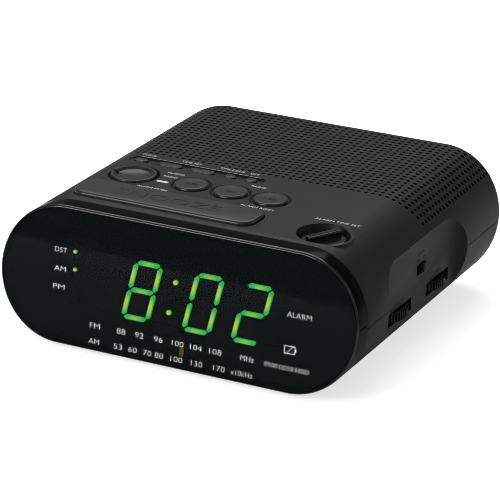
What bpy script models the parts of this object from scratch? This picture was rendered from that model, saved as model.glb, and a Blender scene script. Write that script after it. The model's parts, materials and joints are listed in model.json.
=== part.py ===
"""Clock radio: a rounded bar cabinet in two halves behind a leaning smoked front, with a four-digit
LED display, a sliding dial pointer, top keys, two thumbwheels and a band switch in the right side.

X runs along the width, the front faces -Y, Z is up and the feet stand on Z = 0. Metres."""

import math

import bmesh
import bpy
from mathutils import Matrix, Vector

# Overall sizes
WIDTH = 0.152
BODY_HEIGHT = 0.0535
BOTTOM_DEPTH = 0.1405
FRONT_LEAN = 0.0089
BACK_LEAN = 0.0107
FOOT_HEIGHT = 0.002
DEPTH = BOTTOM_DEPTH + BACK_LEAN

# The layout grows with the cabinet: shares of the standard width, depth and height
X = WIDTH / 0.152
Y = DEPTH / 0.1512
Z = BODY_HEIGHT / 0.0535
S = min(X, Y, Z)

# Clearances and wall
GAP = 0.0003
SLIDE_GAP = 0.0004
WALL = 0.0022 * S
OVERLAP = 0.0004
ARC_STEPS = 16
ROUND_STEPS = 24
CORNER_STEPS = 4
KEY_STEPS = 3
BACK_STEPS = 3

# Cabinet
LENS_ROUND = 0.001 * S
BACK_ROUND = 0.005 * S
CENTRE = (BACK_ROUND * BACK_LEAN - LENS_ROUND * FRONT_LEAN) / BODY_HEIGHT / 2
FRONT_Y = -DEPTH / 2 + CENTRE
BACK_Y = DEPTH / 2 - BACK_LEAN + CENTRE
BASE = FOOT_HEIGHT
TOP = FOOT_HEIGHT + BODY_HEIGHT
MIDDLE = FOOT_HEIGHT + BODY_HEIGHT / 2
CEILING = TOP - WALL
FLOOR = BASE + WALL
FRONT_CHAMFER = 0.0007 * S
BOSS_X = WIDTH / 2 - 0.012 * X
BOSS_RADIUS = 0.0034 * S
SCREW_RADIUS = 0.0014 * S
SCREW_HEAD_RADIUS = 0.0027 * S
BOSS_YS = (-0.050 * Y, 0.050 * Y)
SCREW_SEAT = 0.0085 * Z + BASE

# Front
LENS_DEPTH = 0.00845 * S
LENS_WALL = 0.002 * S
PLATE = 0.0016 * S
CHASSIS_DEPTH = 0.0112 * S
DIGIT_X = 0.0017 * X
MODULE_WIDTH = 0.098 * X
MODULE_HEIGHT = 0.027 * Z
MODULE_DEPTH = 0.007 * S
MODULE_UP = 0.0277 * Z
BOARD = 0.0016 * S
POINTER_X = 0.004 * X
POINTER_TRAVEL = 0.027 * X
POINTER_UP = 0.0075 * Z
NEEDLE_WIDTH = 0.001 * S
NEEDLE_HEIGHT = 0.0028 * Z

# Top controls
KEY_BOARD_TOP = TOP - 0.0109 * Z
SWITCH_HEIGHT = 0.0036 * Z
SWITCH_SIDE = 0.006 * S
STEM_RADIUS = 0.0015 * S
KEY_TRAVEL = 0.0008 * Z
STEM_END = KEY_BOARD_TOP + GAP + KEY_TRAVEL + 0.0013 * Z
FLANGE = 0.0012 * S
SNOOZE_SIZE = (0.078 * X, 0.017 * Y)
SNOOZE_AT = (-0.0166 * X, -0.0447 * Y)
SNOOZE_RISE = 0.0015 * Z
BUTTON_RADIUS = 0.0069 * S
BUTTON_RISE = 0.0007 * Z
BUTTON_Y = -0.0221 * Y
BUTTON_PITCH = BUTTON_RADIUS * 2 + 0.0034 * X
BUTTON_MIDDLE_X = -0.0014 * X
CHANNEL_AT = (-0.0253 * X, -0.0052 * Y)
CHANNEL_SIZE = (0.060 * X, 0.0062 * Y)
CHANNEL_DEPTH = 0.0009 * Z
KEY_DEPTH = 0.0036 * Y
KEYS = (
    ("clock_key", -0.0500 * X, 0.0060 * X),
    ("time_back_key", -0.0369 * X, 0.0106 * X),
    ("time_forward_key", -0.0225 * X, 0.0106 * X),
    ("zone_key", -0.0101 * X, 0.0048 * X),
    ("summer_time_key", -0.0010 * X, 0.0048 * X),
)
DIAL_AT = (-0.044 * X, -0.0223 * Y)
DIAL_RADIUS = 0.0092 * S
DIAL_WELL = 0.0017 * Z
KNOB_AT = (0.0492 * X, -0.0447 * Y)
KNOB_RADIUS = 0.0088 * S
KNOB_WELL = 0.0041 * Z
SHAFT_RADIUS = 0.0027 * S
SHAFT_END = KEY_BOARD_TOP + GAP + 0.002 * Z
ROTARY_SIDE = 0.013 * S
ROTARY_HEIGHT = 0.0044 * Z

# Right side
RECESS_DEPTH = 0.0045 * X
RECESS_FLOOR = WIDTH / 2 - RECESS_DEPTH
RECESS_YS = (-0.03835 * Y, 0.02915 * Y)
RECESS_FLARE = 0.0045 * Y
RECESS_TOP = MIDDLE + 0.0155 * Z
RECESS_CORNER = 0.013 * S
PART_STEP = MIDDLE - 0.0091 * Z
PART_MARGIN = 0.0008 * S
WHEEL_RADIUS = 0.0144 * S
WHEEL_REACH = 0.0024 * S
WHEEL_X = RECESS_FLOOR + WHEEL_REACH - WHEEL_RADIUS
WHEEL_Z = MIDDLE - 0.0091 * Z
WHEEL_HEIGHT = 0.004 * Z
WHEEL_TEETH = 30
WHEEL_TOOTH = 0.0004 * S
WHEEL_SLOT_HEIGHT = 0.0052 * Z
VOLUME_Y = -0.0221 * Y
TUNING_Y = 0.01415 * Y
BAND_AT = (-0.00265 * Y, MIDDLE + 0.0024 * Z)
BAND_SLOT = (0.0082 * Y, 0.0044 * Z)
BAND_KNOB = 0.0032 * Y
BAND_BODY = (0.0055 * X, 0.014 * Y, 0.008 * Z)

# Inside
MAIN_BOARD_TOP = WHEEL_Z - WHEEL_HEIGHT / 2 - 0.0064 * Z
MAIN_BOARD = (0.022 * X, 0.063 * X, -0.045 * Y, 0.042 * Y)
CONTROL_SIZE = 0.013 * S
SPEAKER_AT = (0.0, 0.033 * Y)
SPEAKER_RADIUS = 0.032 * S
SPEAKER_TOP = CEILING - 0.0009 * Z
CORE = (0.034 * S, 0.016 * S, 0.025 * S)
CORE_AT = (-0.033 * X, 0.036 * Y)
CORE_LEG = 0.009 * S
CORE_WINDOW = (0.0075 * S, 0.015 * S)
WINDING = 0.0068 * S
ROD_RADIUS = 0.004 * S
ROD_LENGTH = 0.060 * X
ROD_AT = (0.014 * X, 0.058 * Y, BASE + 0.021 * Z)
COIL_RADIUS = 0.0056 * S
COIL_LENGTH = 0.022 * X
LID_SIZE = (0.030 * S, 0.024 * S)
LID_AT = (-0.007 * X, -0.016 * Y)
LID_THICKNESS = 0.001 * S
LID_TRAVEL = 0.011 * S
CELL_RADIUS = 0.010 * S
CELL_HEIGHT = 0.0032 * S
POCKET_HEIGHT = 0.0045 * S
INLET_AT = (0.030 * X, 0.012 * Z)
INLET_RADIUS = 0.005 * S
INLET_BORE = 0.004 * S
FOOT_RADIUS = 0.005 * S
FOOT_POCKET = 0.0008 * S
FOOT_AT = (0.040 * X, -0.056 * Y, 0.050 * Y)


def material(name, color, roughness, metallic=0.0):
    made = bpy.data.materials.new(name)
    made.use_nodes = True
    shader = made.node_tree.nodes["Principled BSDF"]
    shader.inputs["Base Color"].default_value = (*color, 1)
    shader.inputs["Roughness"].default_value = roughness
    shader.inputs["Metallic"].default_value = metallic
    made.diffuse_color = (*color, 1)
    return made


def rounded(width, height, radius, steps, at=(0.0, 0.0)):
    """Anticlockwise outline of a rectangle with round corners."""
    points = []
    for turn, (sx, sy) in enumerate(((1, 1), (-1, 1), (-1, -1), (1, -1))):
        corner = Vector((at[0] + sx * (width / 2 - radius), at[1] + sy * (height / 2 - radius)))
        for step in range(steps + 1):
            angle = math.pi / 2 * (turn + step / steps)
            point = corner + radius * Vector((math.cos(angle), math.sin(angle)))
            if not points or (point - points[-1]).length > 1e-6:
                points.append(point)
    if (points[0] - points[-1]).length < 1e-6:
        points.pop()
    return points


def outward(bm):
    """All faces facing out of the solid."""
    bmesh.ops.recalc_face_normals(bm, faces=bm.faces[:])
    if bm.calc_volume(signed=True) < 0:
        bmesh.ops.reverse_faces(bm, faces=bm.faces[:])
    return bm


def loft(*rings):
    """A closed solid through rings of the same count, each a list of points."""
    bm = bmesh.new()
    loops = []
    for ring in rings:
        verts = [bm.verts.new(p) for p in ring]
        loops.append([bm.edges.new(pair) for pair in zip(verts, verts[1:] + verts[:1])])
    for first, second in zip(loops, loops[1:]):
        bmesh.ops.bridge_loops(bm, edges=first + second)
    bmesh.ops.contextual_create(bm, geom=loops[0])
    bmesh.ops.contextual_create(bm, geom=loops[-1])
    return outward(bm)


def block(low, high):
    bm = bmesh.new()
    bmesh.ops.create_cube(bm, size=1)
    bmesh.ops.scale(bm, verts=bm.verts[:], vec=Vector(high) - Vector(low))
    bmesh.ops.translate(bm, verts=bm.verts[:], vec=(Vector(high) + Vector(low)) / 2)
    return bm


def bevel(bm, edges, offset, steps):
    bmesh.ops.bevel(
        bm,
        geom=edges,
        offset=offset,
        offset_type="OFFSET",
        segments=steps,
        profile=0.5,
        affect="EDGES",
        clamp_overlap=True,
        material=-1,
    )


def soften_top(bm, width, steps=2):
    top = max(v.co.z for v in bm.verts)
    bevel(bm, [e for e in bm.edges if min(v.co.z for v in e.verts) > top - 1e-7], width, steps)
    return bm


def slab(width, depth, corner, steps, low, high, at):
    """A plate whose upright corners are round."""
    bm = block(
        (at[0] - width / 2, at[1] - depth / 2, low), (at[0] + width / 2, at[1] + depth / 2, high)
    )
    tall = (high - low) / 2
    bevel(bm, [e for e in bm.edges if abs(e.verts[0].co.z - e.verts[1].co.z) > tall], corner, steps)
    return bm


def rod(radius, low, high, at=(0.0, 0.0), steps=ROUND_STEPS):
    bm = bmesh.new()
    bmesh.ops.create_cone(
        bm,
        cap_ends=True,
        segments=steps,
        radius1=radius,
        radius2=radius,
        depth=high - low,
        matrix=Matrix.Translation((at[0], at[1], (low + high) / 2)),
    )
    return bm


def together(*solids):
    """Solids that don't touch, in one mesh."""
    made = bmesh.new()
    for bm in solids:
        mesh = bpy.data.meshes.new("joining")
        bm.to_mesh(mesh)
        bm.free()
        made.from_mesh(mesh)
        bpy.data.meshes.remove(mesh)
    return made


def cabinet_ring(inset, front=None, back=None):
    """The cabinet's outline at a distance behind the leaning front or before the leaning back."""
    outline = rounded(
        WIDTH - 2 * inset,
        BODY_HEIGHT - 2 * inset,
        BODY_HEIGHT / 2 - inset - 1e-5,
        ARC_STEPS // 2,
        (0.0, MIDDLE),
    )
    ring = []
    for x, z in outline:
        rise = (z - BASE) / BODY_HEIGHT
        if back is None:
            ring.append((x, FRONT_Y + FRONT_LEAN * rise + front, z))
        else:
            ring.append((x, BACK_Y + BACK_LEAN * rise - back, z))
    return ring


def front_frame():
    """Local X across, local Y up the leaning front, local Z out of it."""
    lean = math.atan2(FRONT_LEAN, BODY_HEIGHT)
    return Matrix.Translation((0, FRONT_Y, BASE)) @ Matrix.Rotation(math.pi / 2 - lean, 4, "X")


def back_frame():
    """Local X across, local Y up the leaning back, local Z out of it."""
    lean = math.atan2(BACK_LEAN, BODY_HEIGHT)
    across = Matrix.Rotation(math.pi, 4, "Z")
    return Matrix.Translation((0, BACK_Y, BASE)) @ across @ Matrix.Rotation(
        math.pi / 2 + lean, 4, "X"
    )


def clear():
    for obj in list(bpy.data.objects):
        bpy.data.objects.remove(obj, do_unlink=True)


def collection(name):
    made = bpy.data.collections.new(name)
    bpy.context.scene.collection.children.link(made)
    return made


clear()
PARTS = collection("clock_radio")
CUTTERS = collection("cutters")
CUTTERS.hide_render = True

CASE = material("matte_case", (0.040, 0.040, 0.042), 0.55)
KEY = material("matte_key", (0.033, 0.033, 0.035), 0.5)
GLOSS = material("glossy_knob", (0.010, 0.010, 0.011), 0.12)
SMOKED = material("smoked_lens", (0.006, 0.008, 0.008), 0.06)
INNER = material("inner_plastic", (0.012, 0.012, 0.013), 0.6)
MODULE = material("display_face", (0.02, 0.025, 0.022), 0.4)
AMBER = material("pointer_amber", (0.80, 0.30, 0.03), 0.4)
LAMINATE = material("board_laminate", (0.20, 0.13, 0.05), 0.6)
STEEL = material("steel", (0.50, 0.50, 0.52), 0.35, 1.0)
COPPER = material("copper_wire", (0.72, 0.36, 0.15), 0.4, 1.0)
FERRITE = material("ferrite", (0.03, 0.03, 0.032), 0.5)
PAPER = material("speaker_cone_paper", (0.05, 0.05, 0.052), 0.85)
RUBBER = material("rubber", (0.018, 0.018, 0.018), 0.8)


def piece(name, bm, surface, smooth=True):
    mesh = bpy.data.meshes.new(name)
    bm.to_mesh(mesh)
    bm.free()
    if smooth:
        mesh.shade_smooth()
        mesh.set_sharp_from_angle(angle=math.radians(35))
    mesh.materials.append(surface)
    made = bpy.data.objects.new(name, mesh)
    PARTS.objects.link(made)
    return made


def cutter(name, bm):
    mesh = bpy.data.meshes.new(name)
    bm.to_mesh(mesh)
    bm.free()
    made = bpy.data.objects.new(name, mesh)
    made.hide_render = True
    made.display_type = "WIRE"
    CUTTERS.objects.link(made)
    return made


def boolean(target, tool, operation="DIFFERENCE"):
    made = target.modifiers.new(f"{operation.lower()} {tool.name}", "BOOLEAN")
    made.operation = operation
    made.solver = "EXACT"
    made.object = tool


def profile(points):
    """Line through (radius, height) pairs, closed when it starts off the axis."""
    bm = bmesh.new()
    verts = [bm.verts.new((radius, 0, height)) for radius, height in points]
    for pair in zip(verts, verts[1:]):
        bm.edges.new(pair)
    if points[0][0] > 0:
        bm.edges.new((verts[-1], verts[0]))
    return bm


def turned(obj, place=Matrix(), steps=ROUND_STEPS):
    """Turns the object's profile about its own Z."""
    made = obj.modifiers.new("turn", "SCREW")
    made.axis = "Z"
    made.steps = steps
    made.render_steps = steps
    made.use_merge_vertices = True
    made.merge_threshold = 0.00001
    made.use_smooth_shade = False
    obj.matrix_world = place
    return obj


def pivot(obj, at):
    """Moves the object's origin without moving its shape."""
    obj.data.transform(Matrix.Translation(-Vector(at)) @ obj.matrix_world)
    obj.matrix_world = Matrix.Translation(at)


def recess_ring(depth_share, reach):
    """Side outline of the scooped recess, wider towards the outside."""
    flare = RECESS_FLARE * depth_share
    low = BASE - WALL * 4
    top = RECESS_TOP + flare
    span = RECESS_YS[1] - RECESS_YS[0] + 2 * flare
    middle = (RECESS_YS[0] + RECESS_YS[1]) / 2
    outline = rounded(span, top - low, RECESS_CORNER + flare, 6, (middle, (top + low) / 2))
    return [(RECESS_FLOOR + reach, y, z) for y, z in outline]


def t_slot(start, length, narrow, wide, low, step, high):
    """A plate running along Y whose upper part is wider, so it can't drop out of its track."""
    bm = block((LID_AT[0] - wide, start, step), (LID_AT[0] + wide, start + length, high))
    for side in (-narrow, narrow):
        bmesh.ops.bisect_plane(
            bm,
            geom=bm.verts[:] + bm.edges[:] + bm.faces[:],
            plane_co=(LID_AT[0] + side, 0, 0),
            plane_no=(1, 0, 0),
        )
    under = [
        f
        for f in bm.faces
        if f.normal.z < -0.9 and abs(f.calc_center_median().x - LID_AT[0]) < narrow
    ]
    made = bmesh.ops.extrude_face_region(bm, geom=under)["geom"]
    lowered = [v for v in made if isinstance(v, bmesh.types.BMVert)]
    bmesh.ops.translate(bm, verts=lowered, vec=(0, 0, low - step))
    bmesh.ops.delete(bm, geom=under, context="FACES_ONLY")
    return outward(bm)


# Cabinet shell, shared by both halves
def shell_mesh():
    rings = [
        cabinet_ring(FRONT_CHAMFER, front=LENS_DEPTH),
        cabinet_ring(0, front=LENS_DEPTH + FRONT_CHAMFER),
    ]
    for step in range(BACK_STEPS + 1):
        angle = math.pi / 2 * step / BACK_STEPS
        inset, back = BACK_ROUND * (1 - math.cos(angle)), BACK_ROUND * (1 - math.sin(angle))
        rings.append(cabinet_ring(inset, back=back))
    return loft(*rings)


cavity = cutter("cavity", loft(cabinet_ring(WALL, front=0), cabinet_ring(WALL, back=WALL)))
backing = cutter(
    "recess_backing",
    loft(recess_ring(0.5, -WALL), recess_ring(1.5, RECESS_DEPTH - WALL), recess_ring(1.5, WIDTH)),
)
boolean(cavity, backing)
recess = cutter(
    "recess", loft(recess_ring(0, 0), recess_ring(1, RECESS_DEPTH), recess_ring(1.6, RECESS_DEPTH * 2))
)
wall_middle = cutter(
    "wall_middle",
    loft(cabinet_ring(WALL / 2, front=LENS_DEPTH * 2), cabinet_ring(WALL / 2, back=WALL / 2)),
)


def parting_tab(name, grow):
    """The strip of the upper half that reaches down behind the recess."""
    return cutter(
        name,
        block(
            (
                RECESS_FLOOR - WALL * 2 - grow,
                RECESS_YS[0] - RECESS_FLARE - PART_MARGIN - grow,
                PART_STEP - grow,
            ),
            (WIDTH, RECESS_YS[1] + RECESS_FLARE + PART_MARGIN + grow, MIDDLE + WALL),
        ),
    )


upper_side = cutter(
    "upper_side", block((-WIDTH, -DEPTH, MIDDLE - GAP / 2), (WIDTH, DEPTH, TOP * 2))
)
boolean(upper_side, parting_tab("upper_tab", GAP / 2), "UNION")
lower_side = cutter(
    "lower_side", block((-WIDTH, -DEPTH, -TOP), (WIDTH, DEPTH, MIDDLE + GAP / 2))
)
boolean(lower_side, parting_tab("lower_tab", -GAP / 2))


def wheel_slot(y):
    half_height = WHEEL_SLOT_HEIGHT / 2
    reach = math.sqrt(WHEEL_RADIUS**2 - (RECESS_FLOOR - WALL - WHEEL_X) ** 2) + SLIDE_GAP
    return block(
        (WHEEL_X, y - reach, WHEEL_Z - half_height), (WIDTH, y + reach, WHEEL_Z + half_height)
    )


# Upper cabinet: posts and rings hang from the ceiling and end in the wall
UP = TOP + WALL
post_tops = [
    rod(BOSS_RADIUS, MIDDLE + 2 * GAP, UP, (side * BOSS_X, y))
    for side in (-1, 1)
    for y in BOSS_YS
]
BOARD_POSTS = (
    (-0.0315 * X, -0.0317 * Y),
    (0.0075 * X, -0.0317 * Y),
    (0.0320 * X, -0.0080 * Y),
    (0.0330 * X, -0.0500 * Y),
)
BOARD_SCREWS = ((-0.0310 * X, -0.0110 * Y), (0.0320 * X, -0.0290 * Y))
POST_RADIUS = 0.0018 * S
SCREW_POST_RADIUS = 0.0024 * S
post_tops += [rod(POST_RADIUS, KEY_BOARD_TOP + GAP, UP, at, 12) for at in BOARD_POSTS]
post_tops += [rod(SCREW_POST_RADIUS, KEY_BOARD_TOP + GAP, UP, at, 16) for at in BOARD_SCREWS]
speaker_place = Matrix.Translation((SPEAKER_AT[0], SPEAKER_AT[1], 0))
SPEAKER_SCREW_X = SPEAKER_RADIUS + 0.0034 * S
SPEAKER_FLANGE = 0.0022 * Z
post_tops += [
    rod(0.0028 * S, SPEAKER_TOP - SPEAKER_FLANGE, UP, (side * SPEAKER_SCREW_X, SPEAKER_AT[1]), 16)
    for side in (-1, 1)
]
upper_posts = cutter("upper_posts", together(*post_tops))
boolean(upper_posts, wall_middle, "INTERSECT")
speaker_ring = turned(
    cutter(
        "speaker_ring",
        profile(
            [
                (SPEAKER_RADIUS - 0.0008 * S, UP),
                (SPEAKER_RADIUS - 0.0008 * S, SPEAKER_TOP + GAP),
                (SPEAKER_RADIUS - 0.003 * S, SPEAKER_TOP + GAP),
                (SPEAKER_RADIUS - 0.003 * S, UP),
            ]
        ),
    ),
    speaker_place,
)
boolean(speaker_ring, wall_middle, "INTERSECT")
KNOB_SEAT = TOP - KNOB_WELL
DIAL_SEAT = TOP - DIAL_WELL
seats = cutter(
    "seats",
    together(
        rod(KNOB_RADIUS + 0.002 * S, KNOB_SEAT - 0.0015 * S, UP, KNOB_AT),
        rod(DIAL_RADIUS + 0.002 * S, DIAL_SEAT - 0.0015 * S, UP, DIAL_AT),
    ),
)
boolean(seats, wall_middle, "INTERSECT")
RIB = 0.0014 * S
ribs = cutter(
    "band_switch_ribs",
    together(
        *(
            block(
                (RECESS_FLOOR - WALL - BAND_BODY[0] + RIB, BAND_AT[0] - BAND_BODY[1] / 2, low),
                (RECESS_FLOOR - OVERLAP, BAND_AT[0] + BAND_BODY[1] / 2, low + RIB),
            )
            for low in (
                BAND_AT[1] + BAND_BODY[2] / 2 + GAP,
                BAND_AT[1] - BAND_BODY[2] / 2 - GAP - RIB,
            )
        )
    ),
)
SNOOZE_CORNER = 0.006 * S
BUTTON_WELL = 0.0008 * Z
BUTTONS = (
    ("radio_off_button", BUTTON_MIDDLE_X - BUTTON_PITCH),
    ("radio_on_button", BUTTON_MIDDLE_X),
    ("sleep_button", BUTTON_MIDDLE_X + BUTTON_PITCH),
)


def key_slab(x, width, grow, low, high):
    """A key's round-ended plate, this much larger all round."""
    corner = min(width, KEY_DEPTH) / 2 + grow - 1e-5
    return slab(
        width + 2 * grow, KEY_DEPTH + 2 * grow, corner, KEY_STEPS, low, high, (x, CHANNEL_AT[1])
    )


def snooze_slab(grow, low, high):
    return slab(
        SNOOZE_SIZE[0] + 2 * grow,
        SNOOZE_SIZE[1] + 2 * grow,
        SNOOZE_CORNER + grow,
        CORNER_STEPS,
        low,
        high,
        SNOOZE_AT,
    )


wells = [
    snooze_slab(SLIDE_GAP, MIDDLE + WALL, UP),
    slab(
        *CHANNEL_SIZE, CHANNEL_SIZE[1] / 2 - 1e-5, CORNER_STEPS, TOP - CHANNEL_DEPTH, UP, CHANNEL_AT
    ),
    rod(KNOB_RADIUS + 0.0006 * S, KNOB_SEAT, UP, KNOB_AT),
    rod(DIAL_RADIUS + 0.0005 * S, DIAL_SEAT, UP, DIAL_AT),
]
wells += [
    rod(BUTTON_RADIUS + 0.0011 * S, TOP - BUTTON_WELL, UP, (x, BUTTON_Y)) for name, x in BUTTONS
]
upper_wells = cutter("upper_wells", together(*wells))
LOWEST = MIDDLE + WALL
bores = [
    rod(BUTTON_RADIUS + SLIDE_GAP, LOWEST, TOP - BUTTON_WELL / 2, (x, BUTTON_Y))
    for name, x in BUTTONS
]
bores += [
    key_slab(x, width, SLIDE_GAP, LOWEST, TOP - CHANNEL_DEPTH / 2)
    for name, x, width in KEYS
]
bores += [
    rod(SHAFT_RADIUS + SLIDE_GAP, LOWEST, KNOB_SEAT + WALL / 2, KNOB_AT, 20),
    rod(SHAFT_RADIUS + SLIDE_GAP, LOWEST, DIAL_SEAT + WALL / 2, DIAL_AT, 20),
]
PILOT_TOP = TOP - 0.012 * Z
bores += [
    rod(SCREW_RADIUS + SLIDE_GAP, MIDDLE, PILOT_TOP, (side * BOSS_X, y), 16)
    for side in (-1, 1)
    for y in BOSS_YS
]
SMALL_SCREW = 0.0011 * S
bores += [
    rod(SMALL_SCREW + GAP, KEY_BOARD_TOP, CEILING - OVERLAP, at, 12) for at in BOARD_SCREWS
]
bores += [
    rod(
        SMALL_SCREW + GAP,
        SPEAKER_TOP - SPEAKER_FLANGE - WALL,
        CEILING,
        (side * SPEAKER_SCREW_X, SPEAKER_AT[1]),
        12,
    )
    for side in (-1, 1)
]
upper_bores = cutter("upper_bores", together(*bores))
band_slot = block(
    (RECESS_FLOOR - WALL * 2, BAND_AT[0] - BAND_SLOT[0] / 2, BAND_AT[1] - BAND_SLOT[1] / 2),
    (WIDTH, BAND_AT[0] + BAND_SLOT[0] / 2, BAND_AT[1] + BAND_SLOT[1] / 2),
)
side_slots = cutter("side_slots", together(wheel_slot(VOLUME_Y), wheel_slot(TUNING_Y), band_slot))

upper = piece("upper_cabinet", shell_mesh(), CASE)
boolean(upper, cavity)
boolean(upper, recess)
boolean(upper, lower_side)
boolean(upper, seats, "UNION")
boolean(upper, upper_posts, "UNION")
boolean(upper, speaker_ring, "UNION")
boolean(upper, ribs, "UNION")
boolean(upper, upper_wells)
boolean(upper, upper_bores)
boolean(upper, side_slots)

# Lower cabinet: screw bosses, board posts, aerial cradles and the battery pocket stand on the floor
DOWN = BASE - WALL
stands = [
    rod(BOSS_RADIUS, DOWN, MIDDLE - 2 * GAP, (side * BOSS_X, y)) for side in (-1, 1) for y in BOSS_YS
]
MAIN_POSTS = [
    (x, y)
    for x in (MAIN_BOARD[0] + 0.004 * X, MAIN_BOARD[1] - 0.006 * X)
    for y in (MAIN_BOARD[2] + 0.004 * Y, MAIN_BOARD[3] - 0.004 * Y)
]
stands += [rod(POST_RADIUS, DOWN, MAIN_BOARD_TOP - BOARD - GAP, at, 12) for at in MAIN_POSTS]
CRADLE = (0.002 * S, 0.006 * S)
CRADLE_XS = [ROD_AT[0] + side * (ROD_LENGTH / 2 - 0.006 * X) for side in (-1, 1)]
stands += [
    block(
        (x - CRADLE[0], ROD_AT[1] - CRADLE[1], DOWN),
        (x + CRADLE[0], ROD_AT[1] + CRADLE[1], ROD_AT[2] - ROD_RADIUS / 3),
    )
    for x in CRADLE_XS
]
LID_TOP = BASE + 0.0004 * S + LID_THICKNESS
pocket_half = (LID_SIZE[0] / 2 + 0.0028 * S, LID_SIZE[1] / 2 + 0.0016 * S)
pocket_top = LID_TOP + GAP + POCKET_HEIGHT
stands.append(
    block(
        (LID_AT[0] - pocket_half[0], LID_AT[1] - pocket_half[1], DOWN),
        (LID_AT[0] + pocket_half[0], LID_AT[1] + pocket_half[1], pocket_top + WALL / 2),
    )
)
stands += [
    block(
        (CORE_AT[0] + sx * CORE[0] / 2 - 0.001 * S, CORE_AT[1] - 0.004 * S, DOWN),
        (CORE_AT[0] + sx * CORE[0] / 2 + 0.001 * S, CORE_AT[1] + 0.004 * S, FLOOR + 0.012 * Z),
    )
    for sx in (-1.0 - 2 * (0.001 * S + GAP) / CORE[0], 1.0 + 2 * (0.001 * S + GAP) / CORE[0])
]
lower_stands = cutter("lower_stands", together(*stands))
boolean(lower_stands, wall_middle, "INTERSECT")
LID_HALF = LID_SIZE[0] / 2
TONGUE = 0.0012 * S
track_start = LID_AT[1] - LID_SIZE[1] / 2 - GAP
lid_track = cutter(
    "lid_track",
    t_slot(
        track_start,
        LID_SIZE[1] + LID_TRAVEL + 2 * GAP,
        LID_HALF + GAP,
        LID_HALF + TONGUE + GAP,
        -BASE,
        BASE + 0.0004 * S,
        LID_TOP + GAP,
    ),
)
holes = [
    rod(SCREW_RADIUS + SLIDE_GAP, SCREW_SEAT - WALL, MIDDLE + WALL, (side * BOSS_X, y), 16)
    for side in (-1, 1)
    for y in BOSS_YS
]
holes.append(
    block(
        (LID_AT[0] - LID_HALF, LID_AT[1] - LID_SIZE[1] / 2, LID_TOP),
        (LID_AT[0] + LID_HALF, LID_AT[1] + LID_SIZE[1] / 2, pocket_top),
    )
)
FEET = [(side * FOOT_AT[0], y) for side in (-1, 1) for y in FOOT_AT[1:]]
holes += [rod(FOOT_RADIUS + GAP, -WALL, BASE + FOOT_POCKET, at) for at in FEET]
rod_place = Matrix.Translation(ROD_AT) @ Matrix.Rotation(math.pi / 2, 4, "Y")
rod_notch = rod(ROD_RADIUS + GAP, -ROD_LENGTH / 2 - WALL, ROD_LENGTH / 2 + WALL)
rod_notch.transform(rod_place)
holes.append(rod_notch)
inlet_place = back_frame() @ Matrix.Translation((INLET_AT[0], INLET_AT[1], 0))
inlet_hole = rod(INLET_RADIUS + GAP, -WALL * 2, WALL * 2)
inlet_hole.transform(inlet_place)
holes.append(inlet_hole)
lower_holes = cutter("lower_holes", together(*holes))
seats_below = cutter(
    "screw_seats",
    together(
        *(
            rod(SCREW_HEAD_RADIUS + SLIDE_GAP, -WALL, SCREW_SEAT, (side * BOSS_X, y), 20)
            for side in (-1, 1)
            for y in BOSS_YS
        )
    ),
)

lower = piece("lower_cabinet", shell_mesh(), CASE)
boolean(lower, cavity)
boolean(lower, recess)
boolean(lower, upper_side)
boolean(lower, lower_stands, "UNION")
boolean(lower, lid_track)
boolean(lower, lower_holes)
boolean(lower, seats_below)
boolean(lower, side_slots)

# Smoked front and the chassis plate that plugs into the cabinet's mouth
lens = piece(
    "front_lens",
    loft(
        cabinet_ring(LENS_ROUND, front=0),
        cabinet_ring(LENS_ROUND * 0.3, front=LENS_ROUND * 0.3),
        cabinet_ring(0, front=LENS_ROUND),
        cabinet_ring(0, front=LENS_DEPTH - GAP),
    ),
    SMOKED,
)
boolean(
    lens,
    cutter(
        "lens_inside",
        loft(cabinet_ring(LENS_WALL, front=LENS_WALL), cabinet_ring(LENS_WALL, front=LENS_DEPTH * 2)),
    ),
)
PLATE_FRONT = LENS_WALL + GAP
SKIRT = WALL + GAP
chassis = piece(
    "front_chassis",
    loft(cabinet_ring(SKIRT, front=PLATE_FRONT), cabinet_ring(SKIRT, front=CHASSIS_DEPTH)),
    INNER,
)
boolean(
    chassis,
    cutter(
        "chassis_inside",
        loft(
            cabinet_ring(SKIRT + PLATE, front=PLATE_FRONT + PLATE),
            cabinet_ring(SKIRT + PLATE, front=CHASSIS_DEPTH * 2),
        ),
    ),
)
LEAN = math.atan2(FRONT_LEAN, BODY_HEIGHT)
SLOPE = 1 / math.cos(LEAN)
INWARD = math.cos(LEAN)


def behind(low, high):
    """A block in the front's own frame: across, up the slope and depth behind the face."""
    made = block((low[0], low[1], -high[2]), (high[0], high[1], -low[2]))
    made.transform(front_frame())
    return made


MODULE_LOW = MODULE_UP * SLOPE - MODULE_HEIGHT / 2
plate_back = (PLATE_FRONT + PLATE) * INWARD
module_front = plate_back + GAP
module_back = module_front + MODULE_DEPTH
rail_low = POINTER_UP * SLOPE
RAIL = 0.0012 * S
CARRIAGE = (0.008 * X, 0.0036 * Z, 0.003 * S)
posts = [
    behind(
        (x - POST_RADIUS, MODULE_LOW + 0.010 * Z, plate_back - OVERLAP),
        (x + POST_RADIUS, MODULE_LOW + 0.014 * Z, module_back),
    )
    for x in (
        DIGIT_X - MODULE_WIDTH / 2 - POST_RADIUS - 2 * GAP,
        DIGIT_X + MODULE_WIDTH / 2 + POST_RADIUS + 2 * GAP,
    )
]
rails = [
    behind(
        (POINTER_X - POINTER_TRAVEL - CARRIAGE[0], low, plate_back - OVERLAP),
        (POINTER_X + POINTER_TRAVEL + CARRIAGE[0], low + RAIL, plate_back + CARRIAGE[2]),
    )
    for low in (
        rail_low + CARRIAGE[1] / 2 + GAP,
        rail_low - CARRIAGE[1] / 2 - GAP - RAIL,
    )
]
boolean(chassis, cutter("chassis_rails", together(*posts, *rails)), "UNION")
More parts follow.
